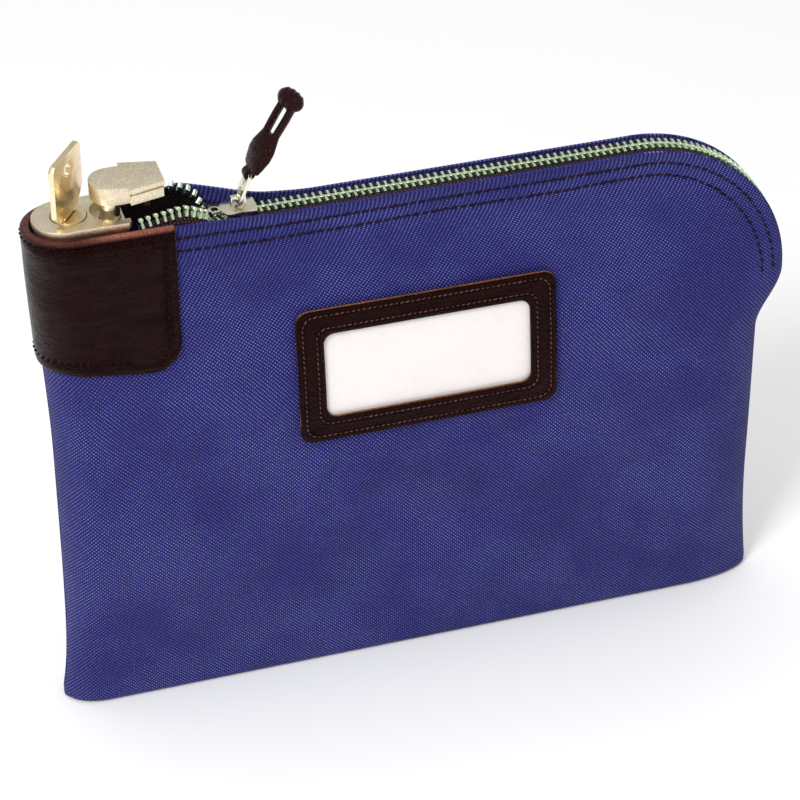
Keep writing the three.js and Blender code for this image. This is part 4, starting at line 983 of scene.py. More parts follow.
# ---- Leather at the lock -------------------------------------------------------------------------
def wrap_point(w, z, inset):
    """A point round the left end: -1 at the patch's front edge, 0 at the side seam, 1 at its rear edge."""
    side = np.where(w < 0, -1.0, 1.0)
    share = np.abs(w)
    x_side, half_side, _, _ = pouch_point(LEFT_SHARE * np.minimum(share, 0.5) * 2, z, inset)
    x_face = lerp(left_edge(z) + SIDE_LEFT, PATCH_RIGHT, (share - 0.5) * 2)
    on_side = share <= 0.5
    x = np.where(on_side, x_side, x_face)
    half = np.where(on_side, half_side, half_thickness(x_face, z) - inset)
    return np.stack([x, side * half, z + rim_lift(x, z)], axis=-1)


def patch_bottom(x):
    into = np.clip((x - (PATCH_RIGHT - PATCH_CORNER)) / PATCH_CORNER, 0, 1)
    climb = PATCH_RISE * smooth(PATCH_RIGHT - 8, LOCK_LEFT, x)
    return PATCH_BOTTOM + climb + PATCH_CORNER * (1 - np.sqrt(1 - into**2))


# The lip turned over the rim: how far in from the cloth, how far above it
PATCH_TURN = [
    (-2.0, 0.0), (-1.95, 0.35), (-1.75, 0.68), (-1.4, 0.92), (-0.9, 1.05), (-0.3, 1.1),
    (0.3, 1.08), (0.85, 0.98), (1.2, 0.75), (1.38, 0.35), (1.42, -0.4), (1.42, -2.5),
]
STITCH_INSET = 3.9
PATCH_ROWS = 64
PATCH_SLACK, PATCH_GRAIN = 0.5, 0.22
PATCH_DENT, PATCH_RIM_DENT = 0.32, 0.25  # how deep its stitches and its cut rim sink
PATCH_ROLL, PATCH_ROLL_DROP = 1.1, 3.7  # the roll of leather below the lip: how proud, how far down
LIP_DENT, LIP_DENT_DROP = 0.35, 1.4  # the dent between the roll and the lip
LINING_DEPTH = 18


class DEPOSITBAG_OT_lock_patch(bpy.types.Operator):
    """Wrap the leather patch round the lock's corner and turn its lip over the rim"""
    bl_idname = "depositbag.lock_patch"
    bl_label = "Lock patch"

    def execute(self, context):
        half_w = 1 - (1 - np.linspace(0, 1, 66)) ** 1.25
        columns = np.concatenate([-half_w[::-1], half_w[1:]])
        rows = PATCH_ROWS
        near = -(GAP + 0.1)
        width = wrap_point(columns, np.full_like(columns, BAG_TOP), near)[:, 0]
        low = patch_bottom(width)

        def grid(inset, relief):
            made = np.stack([
                wrap_point(columns, lerp(low, BAG_TOP, row / rows), inset) for row in range(rows + 1)])
            if relief:
                cloud = soft_noise(made, 13, 4.4) * PATCH_SLACK + soft_noise(made, 5, 1.9) * PATCH_GRAIN
                edge_x = PATCH_RIGHT - made[..., 0]
                edge_z = made[..., 2] - low
                for away in (edge_x, edge_z):
                    cloud -= PATCH_DENT * np.exp(-(((away - STITCH_INSET) / 0.7) ** 2))
                    cloud -= PATCH_RIM_DENT * np.exp(-((away / 1.1) ** 2))
                top = np.linspace(1, 0, rows + 1)[:, None] * (BAG_TOP - low)
                cloud -= LIP_DENT * np.exp(-(((top - LIP_DENT_DROP) / 0.7) ** 2))
                roll = PATCH_ROLL * np.exp(-(((top - PATCH_ROLL_DROP) / 1.4) ** 2))
                cloud += roll * (1 + 0.6 * soft_noise(made, 4, 6.6))
                cloud *= smooth(0, 1.0, top)
                made[..., 1] += cloud * made[..., 1] / np.maximum(np.abs(made[..., 1]), 1e-6)
            return made

        outer, inner = grid(near - LEATHER, True), grid(near, False)
        lifted = rim_lift(outer[-1, :, 0], BAG_TOP)
        turn, under = [], []
        for inset, rise in PATCH_TURN[1:]:
            over = wrap_point(columns, np.full_like(columns, BAG_TOP), inset)
            over[:, 2] = BAG_TOP + lifted + rise
            turn.append(over)
            shrink = wrap_point(columns, np.full_like(columns, BAG_TOP), np.clip(inset, near, 0.9))
            shrink[:, 2] = BAG_TOP + lifted + min(rise - 0.6, 0.45)
            under.append(shrink)
        outer = np.concatenate([outer, np.stack(turn)])
        inner = np.concatenate([inner, np.stack(under)])
        # The lip mark places the turned lip's painted highlight: none on the face, rising over the turn
        start_of_lip = [0.0, 0.1, *np.linspace(0.35, 1, 4)]
        lip = np.concatenate([np.zeros(rows - 1), start_of_lip, np.ones(len(PATCH_TURN) - 5)])
        # The painted highlight is stronger along the front and rear faces than round the end
        rubbed = 0.3 + 0.7 * smooth(0.5, 0.72, np.abs(columns))
        marks = {"lip": lip[:, None] * rubbed[None, :]}
        points, faces, uv, marks = shell(outer, inner, grid_uv(outer), marks, rounding=RIM_ROUNDING)
        raw = 0.15 + 0.7 * smooth(BAG_TOP - 12, BAG_TOP - 2, points[:, 2])
        marks["cut_edge"] *= raw * (1 - np.clip(marks["lip"] * 2, 0, 1))
        patch = finished("leather_lock_patch", points, faces, finish_of("patch"), "bag", uv, marks)
        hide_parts("lock_patch")

        bottom = BAG_TOP - LINING_DEPTH
        start = left_edge(bottom) + SIDE_LEFT
        end = 0.5 + 0.5 * (MOUTH_START - 1 - start) / (PATCH_RIGHT - start)
        w = np.linspace(-end, -0.03, 60)
        levels = np.linspace(bottom, BAG_TOP - 0.4, 24)
        outer = np.stack([wrap_point(w, np.full_like(w, z), FABRIC + GAP) for z in levels])
        inner = np.stack([wrap_point(w, np.full_like(w, z), FABRIC + GAP + LINING) for z in levels])
        points, faces, uv, marks = shell(outer, inner, grid_uv(outer), rounding=RIM_ROUNDING)
        lining = finished("leather_lining", points, faces, finish_of("lining"), "bag", uv, marks)
        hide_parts("lock_lining")
        return {"FINISHED"}


# ---- The label -----------------------------------------------------------------------------------
LABEL_BASE = GAP + 0.1
WINDOW_BASE = LABEL_BASE + CARD + GAP
FRAME_BASE = WINDOW_BASE + WINDOW + GAP


def front_point(x, z, proud):
    return np.stack([x, -(face_half(x, z) + proud), z + rim_lift(x, z)], axis=-1)


def rounded_loop(width, height, radius, side_steps=36, corner_steps=12):
    """A closed loop round the label's middle, with the same count of points at every size."""
    loop = []
    corners = [(1, 1, 0), (-1, 1, 90), (-1, -1, 180), (1, -1, 270)]
    for k, (sx, sz, start) in enumerate(corners):
        here = np.array([sx * (width / 2 - radius), sz * (height / 2 - radius)])
        for i in range(corner_steps + 1):
            angle = math.radians(start + 90 * i / corner_steps)
            loop.append(here + radius * np.array([math.cos(angle), math.sin(angle)]))
        nx, nz, _ = corners[(k + 1) % 4]
        there = np.array([nx * (width / 2 - radius), nz * (height / 2 - radius)])
        out = math.radians(start + 90)
        for i in range(1, side_steps):
            outwards = np.array([math.cos(out), math.sin(out)])
            loop.append(lerp(here, there, i / side_steps) + radius * outwards)
    return np.array(loop) + (LABEL_X, LABEL_Z)


ROW_OUTSIDE, ROW_INSIDE = 2.5, 2.7  # stitch rows, from the frame's outer and inner edges
ROW_DENT, EDGE_DENT = 0.3, 0.35  # how deep the rows and the rims sink
FRAME_GRAIN = 0.25


class DEPOSITBAG_OT_label(bpy.types.Operator):
    """Cut the leather frame, the clear window and the card of the label"""
    bl_idname = "depositbag.label"
    bl_label = "Label"

    def execute(self, context):
        outside = rounded_loop(LABEL_WIDTH, LABEL_HEIGHT, LABEL_CORNER)
        inside = rounded_loop(LABEL_WIDTH - 2 * LABEL_SIDE, LABEL_HEIGHT - 2 * LABEL_SIDE, LABEL_CORNER - 1)
        outer, inner = [], []
        for t in np.linspace(0, 1, 27):
            ring = lerp(outside, inside, t)
            from_out, from_in = t * LABEL_SIDE, (1 - t) * LABEL_SIDE
            proud = FRAME_LEATHER
            for away, row in ((from_out, ROW_OUTSIDE), (from_in, ROW_INSIDE)):
                proud -= ROW_DENT * math.exp(-(((away - row) / 0.55) ** 2))
                proud -= EDGE_DENT * math.exp(-((away / 0.7) ** 2))
            face = front_point(ring[:, 0], ring[:, 1], FRAME_BASE + proud)
            face[:, 1] -= soft_noise(face, 5, 2.2) * FRAME_GRAIN * min(1, from_out, from_in)
            outer.append(face)
            inner.append(front_point(ring[:, 0], ring[:, 1], FRAME_BASE))
        outer, inner = np.stack(outer), np.stack(inner)
        points, faces, uv, marks = shell(outer, inner, grid_uv(outer), wraps=True, rounding=RIM_ROUNDING)
        # The raw edges' tan is painted light: full along the top outer edge and the bottom inner edge, which
        # face up to the light, and fading to painted shade on the other edges
        lit_edges = (LABEL_Z + LABEL_HEIGHT / 2, LABEL_Z - LABEL_HEIGHT / 2 + LABEL_SIDE)
        raw = sum(np.exp(-(((points[:, 2] - z) / 2.5) ** 2)) for z in lit_edges)
        marks["cut_edge"] *= 0.15 + 0.85 * np.minimum(1, raw)
        piece = finished("leather_label_frame", points, faces, finish_of("frame"), "bag", uv, marks)
        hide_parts("label_frame")

        for node, name, base, thick, spare, kind in (
            ("label_card", "paper_label_card", LABEL_BASE, CARD, 0.0, "card"),
            ("label_window", "clear_label_window", WINDOW_BASE, WINDOW, 1.5, "window"),
        ):
            half_x = LABEL_WIDTH / 2 - LABEL_SIDE + LABEL_HELD + spare
            half_z = LABEL_HEIGHT / 2 - LABEL_SIDE + LABEL_HELD + spare
            x, z = np.meshgrid(
                LABEL_X + np.linspace(-half_x, half_x, 60), LABEL_Z + np.linspace(-half_z, half_z, 30))
            outer, inner = front_point(x, z, base + thick), front_point(x, z, base)
            points, faces, uv, marks = shell(outer, inner, grid_uv(outer), rounding=RIM_ROUNDING)
            piece = finished(name, points, faces, finish_of(kind), "bag", uv)
            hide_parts(node)
        return {"FINISHED"}


# ---- The zipper ----------------------------------------------------------------------------------
TAPE_EASE = 0.4  # how roundly a tape bends at its corners, from 0 for straight lines
TOOTH_LEAN = math.radians(66)  # how far the open rows lean out
HEAD_ROOM = 0.9  # how far the rows beside the lock stand aside from the pressed head
ROW_START, ROW_END = 1.5, 1.0  # bare tape before the first tooth and after the last


def hermite(x, xs, ys):
    """Values at x of a smooth curve through the points given by xs and ys."""
    xs, ys = np.asarray(xs, float), np.asarray(ys, float)
    slopes = np.gradient(ys, xs)
    i = np.clip(np.searchsorted(xs, x) - 1, 0, len(xs) - 2)
    h = xs[i + 1] - xs[i]
    t = (x - xs[i]) / h
    return ((2 * t**3 - 3 * t**2 + 1) * ys[i] + (t**3 - 2 * t**2 + t) * h * slopes[i]
            + (3 * t**2 - 2 * t**3) * ys[i + 1] + (t**3 - t**2) * h * slopes[i + 1])


def chain(step=0.7):
    """Stations along the chain: x, z, the way up, how far out and up the row stands."""
    xs, outs, rises = zip(*sorted(OPEN_ROW))
    straight = np.arange(MOUTH_START, CORNER_X, step)
    angles = np.radians(np.arange(90, ZIP_END_ANGLE, -math.degrees(step / CHAIN_RADIUS)))
    closed_from = OPEN_ROW[0][0]
    out, rise = (
        np.where(straight < closed_from, np.maximum(0, hermite(np.minimum(straight, closed_from), xs, ys)), 0)
        for ys in (outs, rises)
    )
    x = np.concatenate([straight, CORNER_X + CHAIN_RADIUS * np.cos(angles)])
    z = np.concatenate([np.full(len(straight), CHAIN_Z), CORNER_Z + CHAIN_RADIUS * np.sin(angles)])
    radial = np.stack([np.cos(angles), np.sin(angles)], axis=1)
    up = np.concatenate([np.tile([0.0, 1.0], (len(straight), 1)), radial])
    pad = np.zeros(len(angles))
    return x, z, up, np.concatenate([out, pad]), np.concatenate([rise, pad])


def station_points(x, z, up, y, height):
    return np.stack([x + up[:, 0] * height, y, z + up[:, 1] * height], axis=-1)


class DEPOSITBAG_OT_tapes(bpy.types.Operator):
    """Weave the two zipper tapes, from inside the rims up to the teeth"""
    bl_idname = "depositbag.tapes"
    bl_label = "Zipper tapes"

    def execute(self, context):
        x, z, up, out, rise = chain()
        straight = up[:, 0] < 0.01
        rim = np.where(straight, BAG_TOP + rim_lift(x, BAG_TOP) - CHAIN_Z, BAG_TOP - CHAIN_Z)
        for node, side in (("zipper_tape_front", -1), ("zipper_tape_rear", 1)):
            layers = []
            for inset in (0.0, TAPE):
                wall = np.where(straight, rim_half(x), RIM_HALF) - FABRIC - TAPE_GAP - inset
                row = ROW_OUTER + GAP + out
                top = rise + TAPE / 2 - inset
                bend = np.minimum(rim - 1.5, top)
                corners = [
                    (wall, rim - TAPE_DEPTH), (wall, bend - 0.6),
                    (lerp(wall, row, 0.3), lerp(bend, top, 0.4)), (row - 0.5, top),
                ]
                rows = []
                for t in np.linspace(0, 3, 19):
                    i = min(int(t), 2)
                    f = t - i
                    p = [corners[max(i - 1, 0)], corners[i], corners[i + 1], corners[min(i + 2, 3)]]
                    blend = [(-f**3 + 2 * f**2 - f) / 2 * TAPE_EASE, 0, 0, (f**3 - f**2) / 2 * TAPE_EASE]
                    blend[1] = 1 - f - blend[0] * 0.5 - blend[3] * 0.5
                    blend[2] = f - blend[0] * 0.5 - blend[3] * 0.5
                    y, h = (sum(b * q[axis] for b, q in zip(blend, p)) for axis in (0, 1))
                    rows.append(station_points(x, z, up, side * y, h))
                layers.append(np.stack(rows))
            points, faces, uv, marks = shell(layers[0], layers[1], grid_uv(layers[0]), rounding=RIM_ROUNDING)
            piece = finished(f"woven_{node}", points, faces, finish_of("tape"), "bag", uv)
            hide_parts(node)
        return {"FINISHED"}


class DEPOSITBAG_OT_teeth(bpy.types.Operator):
    """Clamp the metal teeth along both tapes, meshed where the zipper is closed"""
    bl_idname = "depositbag.teeth"
    bl_label = "Zipper teeth"

    def execute(self, context):
        x, z, up, out, rise = chain(0.25)
        tilt = TOOTH_LEAN * smooth(0.2, 7, rise)
        pitch = sizes().tooth_pitch / MM
        tooth = helper("tooth", tooth_shape)
        for node, side, offset in (("zipper_teeth_front", -1, 0.0), ("zipper_teeth_rear", 1, pitch / 2)):
            aside = HEAD_ROOM * smooth(-86, -94, x)
            edge_y = side * (ROW_OUTER + 0.2 + out + aside)
            path = station_points(x, z, up, edge_y, rise - aside)
            gone = np.concatenate([[0], np.linalg.norm(np.diff(path, axis=0), axis=1).cumsum()])
            first = np.searchsorted(gone, ROW_START + offset)
            # A tooth's own +Y points from the tape's edge to the middle. Its back, +Z, leans out with the tape
            way_up = np.stack([up[:, 0] * np.cos(tilt), side * np.sin(tilt), up[:, 1] * np.cos(tilt)], axis=-1)
            # The rear row is laid from its far end, so that its teeth fall between the front ones
            last = np.searchsorted(gone, gone[-1] - ROW_END) if side > 0 else len(path)
            order = slice(None, None, -side)
            rows = [(path[first:last][order], way_up[first:last][order])]
            piece = row_along(
                f"metal_{node}", rows, tooth, pitch,
                (1.0, 1.0, 1.0), TEETH_UNEVEN, sizes().seed, finish_of("teeth"), "bag")
            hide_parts(node)
        drop(tooth)
        bevelled_copy("zipper_end_stop", "metal_end_stop", finish_of("teeth"), "bag", 0.35)
        return {"FINISHED"}


# ---- Stitching -----------------------------------------------------------------------------------
SEAM_PROUD, PATCH_SUNK, LABEL_SUNK = 0.12, 0.15, 0.2  # how far the rows lie off or in the surface
TOP_ROW, TOP_ROW_LEAN = 1.4, 1.5  # the patch's row below the rim, and how far its threads lean up
FINE_SHARE, PATCH_SHARE, LABEL_SHARE = 0.75, 0.82, 0.7  # the label's pitch, and how much of a pitch is thread
THIN_THREAD = 0.6
SEAM_UNEVEN, PATCH_UNEVEN, LABEL_UNEVEN, TEETH_UNEVEN = 0.16, 0.12, 0.2, 0.015


def out_of_face(x, z, side):
    """The direction out of a face of the pouch at each point."""
    d = 0.6
    slope_x = (face_half(x + d, z) - face_half(x - d, z)) / (2 * d)
    slope_z = (face_half(x, z + d) - face_half(x, z - d)) / (2 * d)
    way = np.stack([-slope_x, np.full_like(x, float(side)), -slope_z], axis=-1)
    return way / np.linalg.norm(way, axis=1, keepdims=True)


def face_path(x, z, side, proud):
    half = face_half(x, z) + proud
    height = z + rim_lift(x, z) + rim_slack(x, z, side)
    return np.stack([x, side * half, height], axis=-1), out_of_face(x, z, side)


class DEPOSITBAG_OT_stitching(bpy.types.Operator):
    """Sew the double rows along the zipper, and the rows in the patch and the label's frame"""
    bl_idname = "depositbag.stitching"
    bl_label = "Stitching"

    def execute(self, context):
        given = sizes()
        thread = given.thread / MM
        stitch = helper("stitch", stitch_shape)
        for name, side in (("front", -1), ("rear", 1)):
            paths = []
            for row in (given.row_near / MM, given.row_far / MM):
                straight = np.arange(PATCH_RIGHT + 1.2, CORNER_X, 0.8)
                angles = np.radians(np.arange(90, 2, -0.8))
                radius = CORNER_RADIUS - row
                x = np.concatenate([straight, CORNER_X + radius * np.cos(angles)])
                z = np.concatenate([np.full(len(straight), BAG_TOP - row), CORNER_Z + radius * np.sin(angles)])
                relief = cloth_relief(x, z, side, given)
                paths.append(face_path(x, z, side, relief + SEAM_PROUD))
            row = row_along(
                f"seam_stitches_{name}", paths, stitch, given.stitch_pitch / MM,
                (given.stitch_length / MM, thread, thread),
                SEAM_UNEVEN, given.seed, finish_of("seam_thread"), "bag")

        near = GAP + 0.1 + LEATHER
        paths = []
        for side in (-1.0, 1.0):
            drop_down = np.arange(BAG_TOP - 1.8, PATCH_BOTTOM + PATCH_CORNER, -0.7)
            turn = np.radians(np.arange(0, -90, -6))
            radius = PATCH_CORNER - STITCH_INSET
            centre_x, centre_z = PATCH_RIGHT - PATCH_CORNER, PATCH_BOTTOM + PATCH_CORNER
            leftwards = np.arange(centre_x, BAG_LEFT + SIDE_LEFT - 2, -0.7)
            climbing = patch_bottom(leftwards) + STITCH_INSET
            beside = np.full(len(drop_down), PATCH_RIGHT - STITCH_INSET)
            x = np.concatenate([beside, centre_x + radius * np.cos(turn), leftwards])
            z = np.concatenate([drop_down, centre_z + radius * np.sin(turn), climbing])
            paths.append(face_path(x, z, side, near - PATCH_SUNK))
            w = side * np.linspace(0.5, 0.02, 40)
            level = patch_bottom(wrap_point(w, np.full_like(w, BAG_TOP), 0.0)[:, 0]) + STITCH_INSET
            round_end = wrap_point(w, level, -(near - 0.1))
            away = wrap_point(w, level, -(near + 4)) - round_end
            paths.append((round_end, away / np.linalg.norm(away, axis=1, keepdims=True)))
        w = np.linspace(-0.985, 0.985, 260)
        level = np.full_like(w, BAG_TOP - TOP_ROW)
        top = wrap_point(w, level, -(near - 0.1))
        away = wrap_point(w, level, -(near + 4)) - top
        away[:, 2] += TOP_ROW_LEAN
        paths.append((top, away / np.linalg.norm(away, axis=1, keepdims=True)))
        fine = given.fine_pitch / MM
        row = row_along(
            "patch_stitches", paths, stitch, fine,
            (fine * PATCH_SHARE, thread, thread),
            PATCH_UNEVEN, given.seed + 1, finish_of("patch_thread"), "bag")

        paths = []
        for inset in (ROW_OUTSIDE, LABEL_SIDE - ROW_INSIDE):
            corner = LABEL_CORNER - inset * (1 / LABEL_SIDE)
            loop = rounded_loop(LABEL_WIDTH - 2 * inset, LABEL_HEIGHT - 2 * inset, corner, 60, 10)
            loop = np.concatenate([loop, loop[:1]])
            paths.append(face_path(loop[:, 0], loop[:, 1], -1.0, FRAME_BASE + FRAME_LEATHER - LABEL_SUNK))
        fine, thin = fine * FINE_SHARE, thread * THIN_THREAD
        row = row_along(
            "label_stitches", paths, stitch, fine,
            (fine * LABEL_SHARE, thin, thin),
            LABEL_UNEVEN, given.seed + 2, finish_of("label_thread"), "bag")
        drop(stitch)
        return {"FINISHED"}


# ---- Metal ---------------------------------------------------------------------------------------
class DEPOSITBAG_OT_lock(bpy.types.Operator):
    """Finish the lock: its plate and body, cover, screws, plug, pins, cam, bolt and springs"""
    bl_idname = "depositbag.lock"
    bl_label = "Lock"

    def execute(self, context):
        edge = sizes().metal_edge / MM
        bevelled_copy("lock_housing", "plated_lock_housing", finish_of("satin"), "bag", edge * 1.6, 3)
        bevelled_copy("lock_cover", "plated_lock_cover", finish_of("satin"), "bag", edge)
        for node in ("cover_screw_1", "cover_screw_2", "cover_screw_3"):
            bevelled_copy(node, f"steel_{node}", finish_of("steel"), "bag", edge * 0.4, 1)
        bevelled_copy("key_plug", "brass_key_plug", finish_of("key"), "plug", edge * 0.8)
        bevelled_copy("plug_cam", "steel_plug_cam", finish_of("steel"), "plug", edge * 0.5, 1)
        bevelled_copy("latch_bolt", "steel_latch_bolt", finish_of("steel"), "bolt", edge * 0.6)
        for name, node in frame["nodes"].items():
            if "_pin_" in name or "_spring" in name:
                kind = "key" if "_pin_" in name else "steel"
                node.data.materials.clear()
                node.data.materials.append(finish_of(kind))
        return {"FINISHED"}


class DEPOSITBAG_OT_locking_head(bpy.types.Operator):
    """Finish the pop-up head and the post that it stands on"""
    bl_idname = "depositbag.locking_head"
    bl_label = "Locking head"

    def execute(self, context):
        edge = sizes().metal_edge / MM
        bevelled_copy("locking_head", "plated_locking_head", finish_of("satin"), "head", edge)
        bevelled_copy("head_post", "plated_head_post", finish_of("bright"), "head", edge * 0.8)
        return {"FINISHED"}


class DEPOSITBAG_OT_key(bpy.types.Operator):
    """Finish the key"""
    bl_idname = "depositbag.key"
    bl_label = "Key"

    def execute(self, context):
        bevelled_copy("bag_key", "cut_brass_key", finish_of("key"), "key", sizes().metal_edge / MM * 1.3, 3)
        return {"FINISHED"}


class DEPOSITBAG_OT_slider(bpy.types.Operator):
    """Finish the zipper's slider and the metal tab on it"""
    bl_idname = "depositbag.slider"
    bl_label = "Slider and tab"

    def execute(self, context):
        edge = sizes().metal_edge / MM
        bevelled_copy("slider_body", "plated_slider", finish_of("bright"), "slider", edge)
        bevelled_copy("pull_tab", "plated_pull_tab", finish_of("bright"), "tab", edge * 0.9)
        return {"FINISHED"}


# ---- The leather pull ----------------------------------------------------------------------------
# The pull in its own axes, from its hinge: along it, half width, half thickness
PULL_BASE = [
    (1.7, 5.0, 1.2), (2.4, 6.0, 1.7), (4.5, 6.3, 1.9), (8, 6.0, 1.9),
    (11, 5.2, 1.8), (14, 4.2, 1.75), (16.5, 3.6, 1.6),
]
# Its strands: along it, half the distance between their middles
PULL_STRANDS = [(14, 2.0), (17, 2.1), (20, 2.2), (23, 2.3), (26, 2.25), (30, 2.1)]
STRAND_HALF = (1.3, 1.6)
KNOB_HALF, KNOB_LONG, KNOB_THICK = 5.3, 3.6, 3.4
KNOB_AT = STRAP_LENGTH - 2.2
KNOB_RIBS, KNOB_RIDGE = 5, 0.055
LOOP_INNER, LOOP_OUTER, LOOP_HALF = 1.3, 2.15, 1.9  # the leather round the tab's bar
MELT = 0.00028  # how finely the parts of the pull are joined, in metres


def tube(work, centres, radii, sides=14):
    """A closed tube through centres (along, across, off) with radii (across, off) at each."""
    rings = []
    for (s, y, n), (wide, thick) in zip(centres, radii):
        rings.append([
            work.verts.new((s, y + wide * sign_power(math.cos(a)), n + thick * sign_power(math.sin(a))))
            for a in full_turn(sides)
        ])
    join_rings(work, rings)


def sign_power(value, power=0.75):
    return math.copysign(abs(value) ** power, value)


class DEPOSITBAG_OT_leather_pull(bpy.types.Operator):
    """Shape the leather pull: a folded base, two strands and a rolled knob"""
    bl_idname = "depositbag.leather_pull"
    bl_label = "Leather pull"

    def execute(self, context):
        hinge = next(j for j in frame["joints"] if j["name"] == "strap_swing")
        pivot = Vector(hinge["pos_m"])
        work = bmesh.new()
        tube(work, [(s, 0, 0) for s, _, _ in PULL_BASE], [(w, t) for _, w, t in PULL_BASE], 20)
        for side in (-1, 1):
            tube(work, [(s, side * y, 0) for s, y in PULL_STRANDS], [STRAND_HALF] * len(PULL_STRANDS))
        rings = []
        for k in range(4 * KNOB_RIBS + 1):
            t = -1 + 2 * k / (4 * KNOB_RIBS)
            radius = math.sqrt(max(0.02, 1 - abs(t) ** 2.6))
            r = radius * (1 + KNOB_RIDGE * math.cos(k * math.pi / 2))
            long, thick = KNOB_LONG * r, KNOB_THICK * r
            rings.append([
                work.verts.new((KNOB_AT + long * math.cos(a), t * KNOB_HALF, thick * math.sin(a)))
                for a in full_turn(24)
            ])
        join_rings(work, rings)
        section = [
            (LOOP_INNER, -LOOP_HALF), (LOOP_OUTER, -LOOP_HALF),
            (LOOP_OUTER, LOOP_HALF), (LOOP_INNER, LOOP_HALF),
        ]
        loop = [
            [work.verts.new((r * math.cos(a), y, r * math.sin(a))) for r, y in section] for a in full_turn(20)]
        join_rings(work, [*loop, loop[0]], capped=False)
        bmesh.ops.recalc_face_normals(work, faces=work.faces)
        for vert in work.verts:
            twist = Matrix.Rotation(STRAP_TWIST * float(smooth(2, 14, vert.co.x)), 3, "X")
            vert.co = twist @ vert.co
        # The pull's own axes: along it, across the bag, and off its face
        angle = math.radians(STRAP_ANGLE)
        c, n = math.cos(angle), math.sin(angle)
        axes = Matrix(((c, 0, -n), (0, 1, 0), (n, 0, c))).to_4x4()
        place = Matrix.Translation(pivot) @ axes @ Matrix.Scale(MM, 4)
        bmesh.ops.transform(work, matrix=place, verts=work.verts)
        mesh = bpy.data.meshes.new("cut_leather_pull")
        work.to_mesh(mesh)
        work.free()
        piece = bpy.data.objects.new("cut_leather_pull", mesh)
        bpy.context.collection.objects.link(piece)
        melt = piece.modifiers.new("Melt together", "REMESH")
        melt.mode, melt.voxel_size = "VOXEL", MELT
        ease = piece.modifiers.new("Ease", "SMOOTH")
        ease.factor, ease.iterations = 0.5, 3
        settled = piece.evaluated_get(context.evaluated_depsgraph_get())
        shaped = bpy.data.meshes.new_from_object(settled)
        piece.modifiers.clear()
        piece.data = shaped
        shaped.materials.clear()
        shaped.materials.append(finish_of("pull"))
        shaped.polygons.foreach_set("use_smooth", [True] * len(shaped.polygons))
        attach(piece, "strap")
        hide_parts("leather_pull")
        return {"FINISHED"}


# ---- Stage ---------------------------------------------------------------------------------------
AZIMUTH, ELEVATION, DISTANCE = -17.389, 35.626, 1.16875
AIM = (0.0, 0.0, 0.105)
LENS, SENSOR = 141.0, 36.0
SHIFT = (-0.0213, 0.0065)
FLOOR_REACH = 6.0
SKY = 0.54
# Name, place, side and power of each light
LIGHTS = [
    ("key_light", (-0.8, -0.8, 1.25), 0.42, 14.0),
    ("top_light", (0.0, 0.1, 2.6), 2.4, 26.0),
]


def area_light(name, spot, size, energy):
    light = bpy.data.lights.new(name, "AREA")
    light.shape, light.size, light.energy = "SQUARE", size, energy
    lamp = bpy.data.objects.new(name, light)
    lamp.location = spot
    lamp.rotation_euler = (Vector(AIM) - Vector(spot)).to_track_quat("-Z", "Y").to_euler()
    bpy.context.collection.objects.link(lamp)


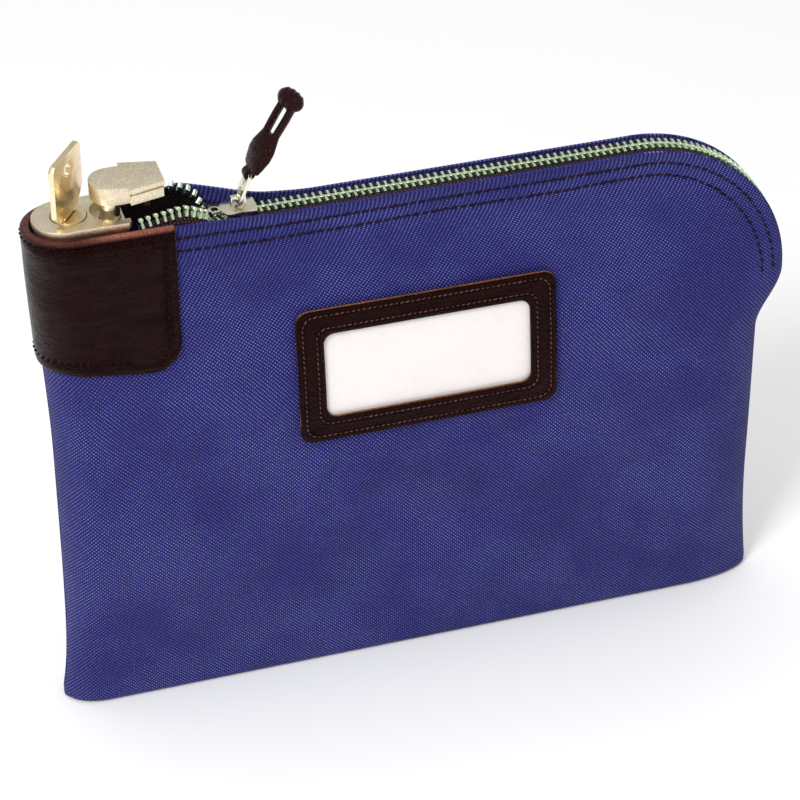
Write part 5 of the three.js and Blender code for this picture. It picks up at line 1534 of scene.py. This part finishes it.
class DEPOSITBAG_OT_stage(bpy.types.Operator):
    """Set the pale floor, the soft studio light and the camera"""
    bl_idname = "depositbag.stage"
    bl_label = "Stage"

    def execute(self, context):
        camera = bpy.data.cameras.new("Camera")
        camera.sensor_width, camera.lens = SENSOR, LENS
        camera.shift_x, camera.shift_y = SHIFT
        holder = bpy.data.objects.new("Camera", camera)
        a, e = math.radians(AZIMUTH), math.radians(ELEVATION)
        back = Vector((math.sin(a) * math.cos(e), -math.cos(a) * math.cos(e), math.sin(e)))
        holder.location = Vector(AIM) + back * DISTANCE
        holder.rotation_euler = back.to_track_quat("Z", "Y").to_euler()
        context.collection.objects.link(holder)
        context.scene.camera = holder

        floor_mesh = bpy.data.meshes.new("floor")
        corners = [(x * FLOOR_REACH, y * FLOOR_REACH, 0) for x, y in ((-1, -1), (1, -1), (1, 1), (-1, 1))]
        floor_mesh.from_pydata(corners, [], [(0, 1, 2, 3)])
        floor = bpy.data.objects.new("floor", floor_mesh)
        made, tree, shader, place = material("pale_floor", 0.9, Specular_IOR_Level=0.1)
        tone = noise_at(tree, place.outputs["Object"], 6.0, 3.0)
        tree.links.new(mix(tree, tone, (0.93, 0.93, 0.935), (0.95, 0.95, 0.95)), shader.inputs["Base Color"])
        floor_mesh.materials.append(made)
        context.collection.objects.link(floor)

        world = bpy.data.worlds.new("studio")
        world.use_nodes = True
        sky = world.node_tree.nodes["Background"].inputs
        sky["Color"].default_value = (1.0, 1.0, 1.0, 1.0)
        sky["Strength"].default_value = SKY
        context.scene.world = world
        for light in LIGHTS:
            area_light(*light)
        context.scene.view_settings.view_transform = "Standard"
        return {"FINISHED"}


# ---- The add-on ----------------------------------------------------------------------------------
STEPS = [
    DEPOSITBAG_OT_stage, DEPOSITBAG_OT_pouch, DEPOSITBAG_OT_lock_patch, DEPOSITBAG_OT_label,
    DEPOSITBAG_OT_tapes, DEPOSITBAG_OT_teeth, DEPOSITBAG_OT_stitching, DEPOSITBAG_OT_lock,
    DEPOSITBAG_OT_locking_head, DEPOSITBAG_OT_key, DEPOSITBAG_OT_slider, DEPOSITBAG_OT_leather_pull,
]


class DEPOSITBAG_PT_panel(bpy.types.Panel):
    """The pieces of the deposit bag, their sizes and their colours"""
    bl_idname = "DEPOSITBAG_PT_panel"
    bl_label = "Deposit Bag"
    bl_space_type = "VIEW_3D"
    bl_region_type = "UI"
    bl_category = "Deposit Bag"

    def draw(self, context):
        pieces = self.layout.column(align=True)
        for step in STEPS:
            pieces.operator(step.bl_idname)
        for group in (context.scene.deposit_bag_sizes, context.scene.deposit_bag_colours):
            values = self.layout.column(align=True)
            for name in group.__annotations__:
                values.prop(group, name)


CLASSES = [DepositBagSizes, DepositBagColours, *STEPS, DEPOSITBAG_PT_panel]


def register():
    for item in CLASSES:
        bpy.utils.register_class(item)
    bpy.types.Scene.deposit_bag_sizes = PointerProperty(type=DepositBagSizes)
    bpy.types.Scene.deposit_bag_colours = PointerProperty(type=DepositBagColours)


def unregister():
    del bpy.types.Scene.deposit_bag_sizes
    del bpy.types.Scene.deposit_bag_colours
    for item in reversed(CLASSES):
        bpy.utils.unregister_class(item)


def main():
    register()
    for step in STEPS:
        group, name = step.bl_idname.split(".")
        getattr(getattr(bpy.ops, group), name)()


if __name__ == "__main__":
    main()
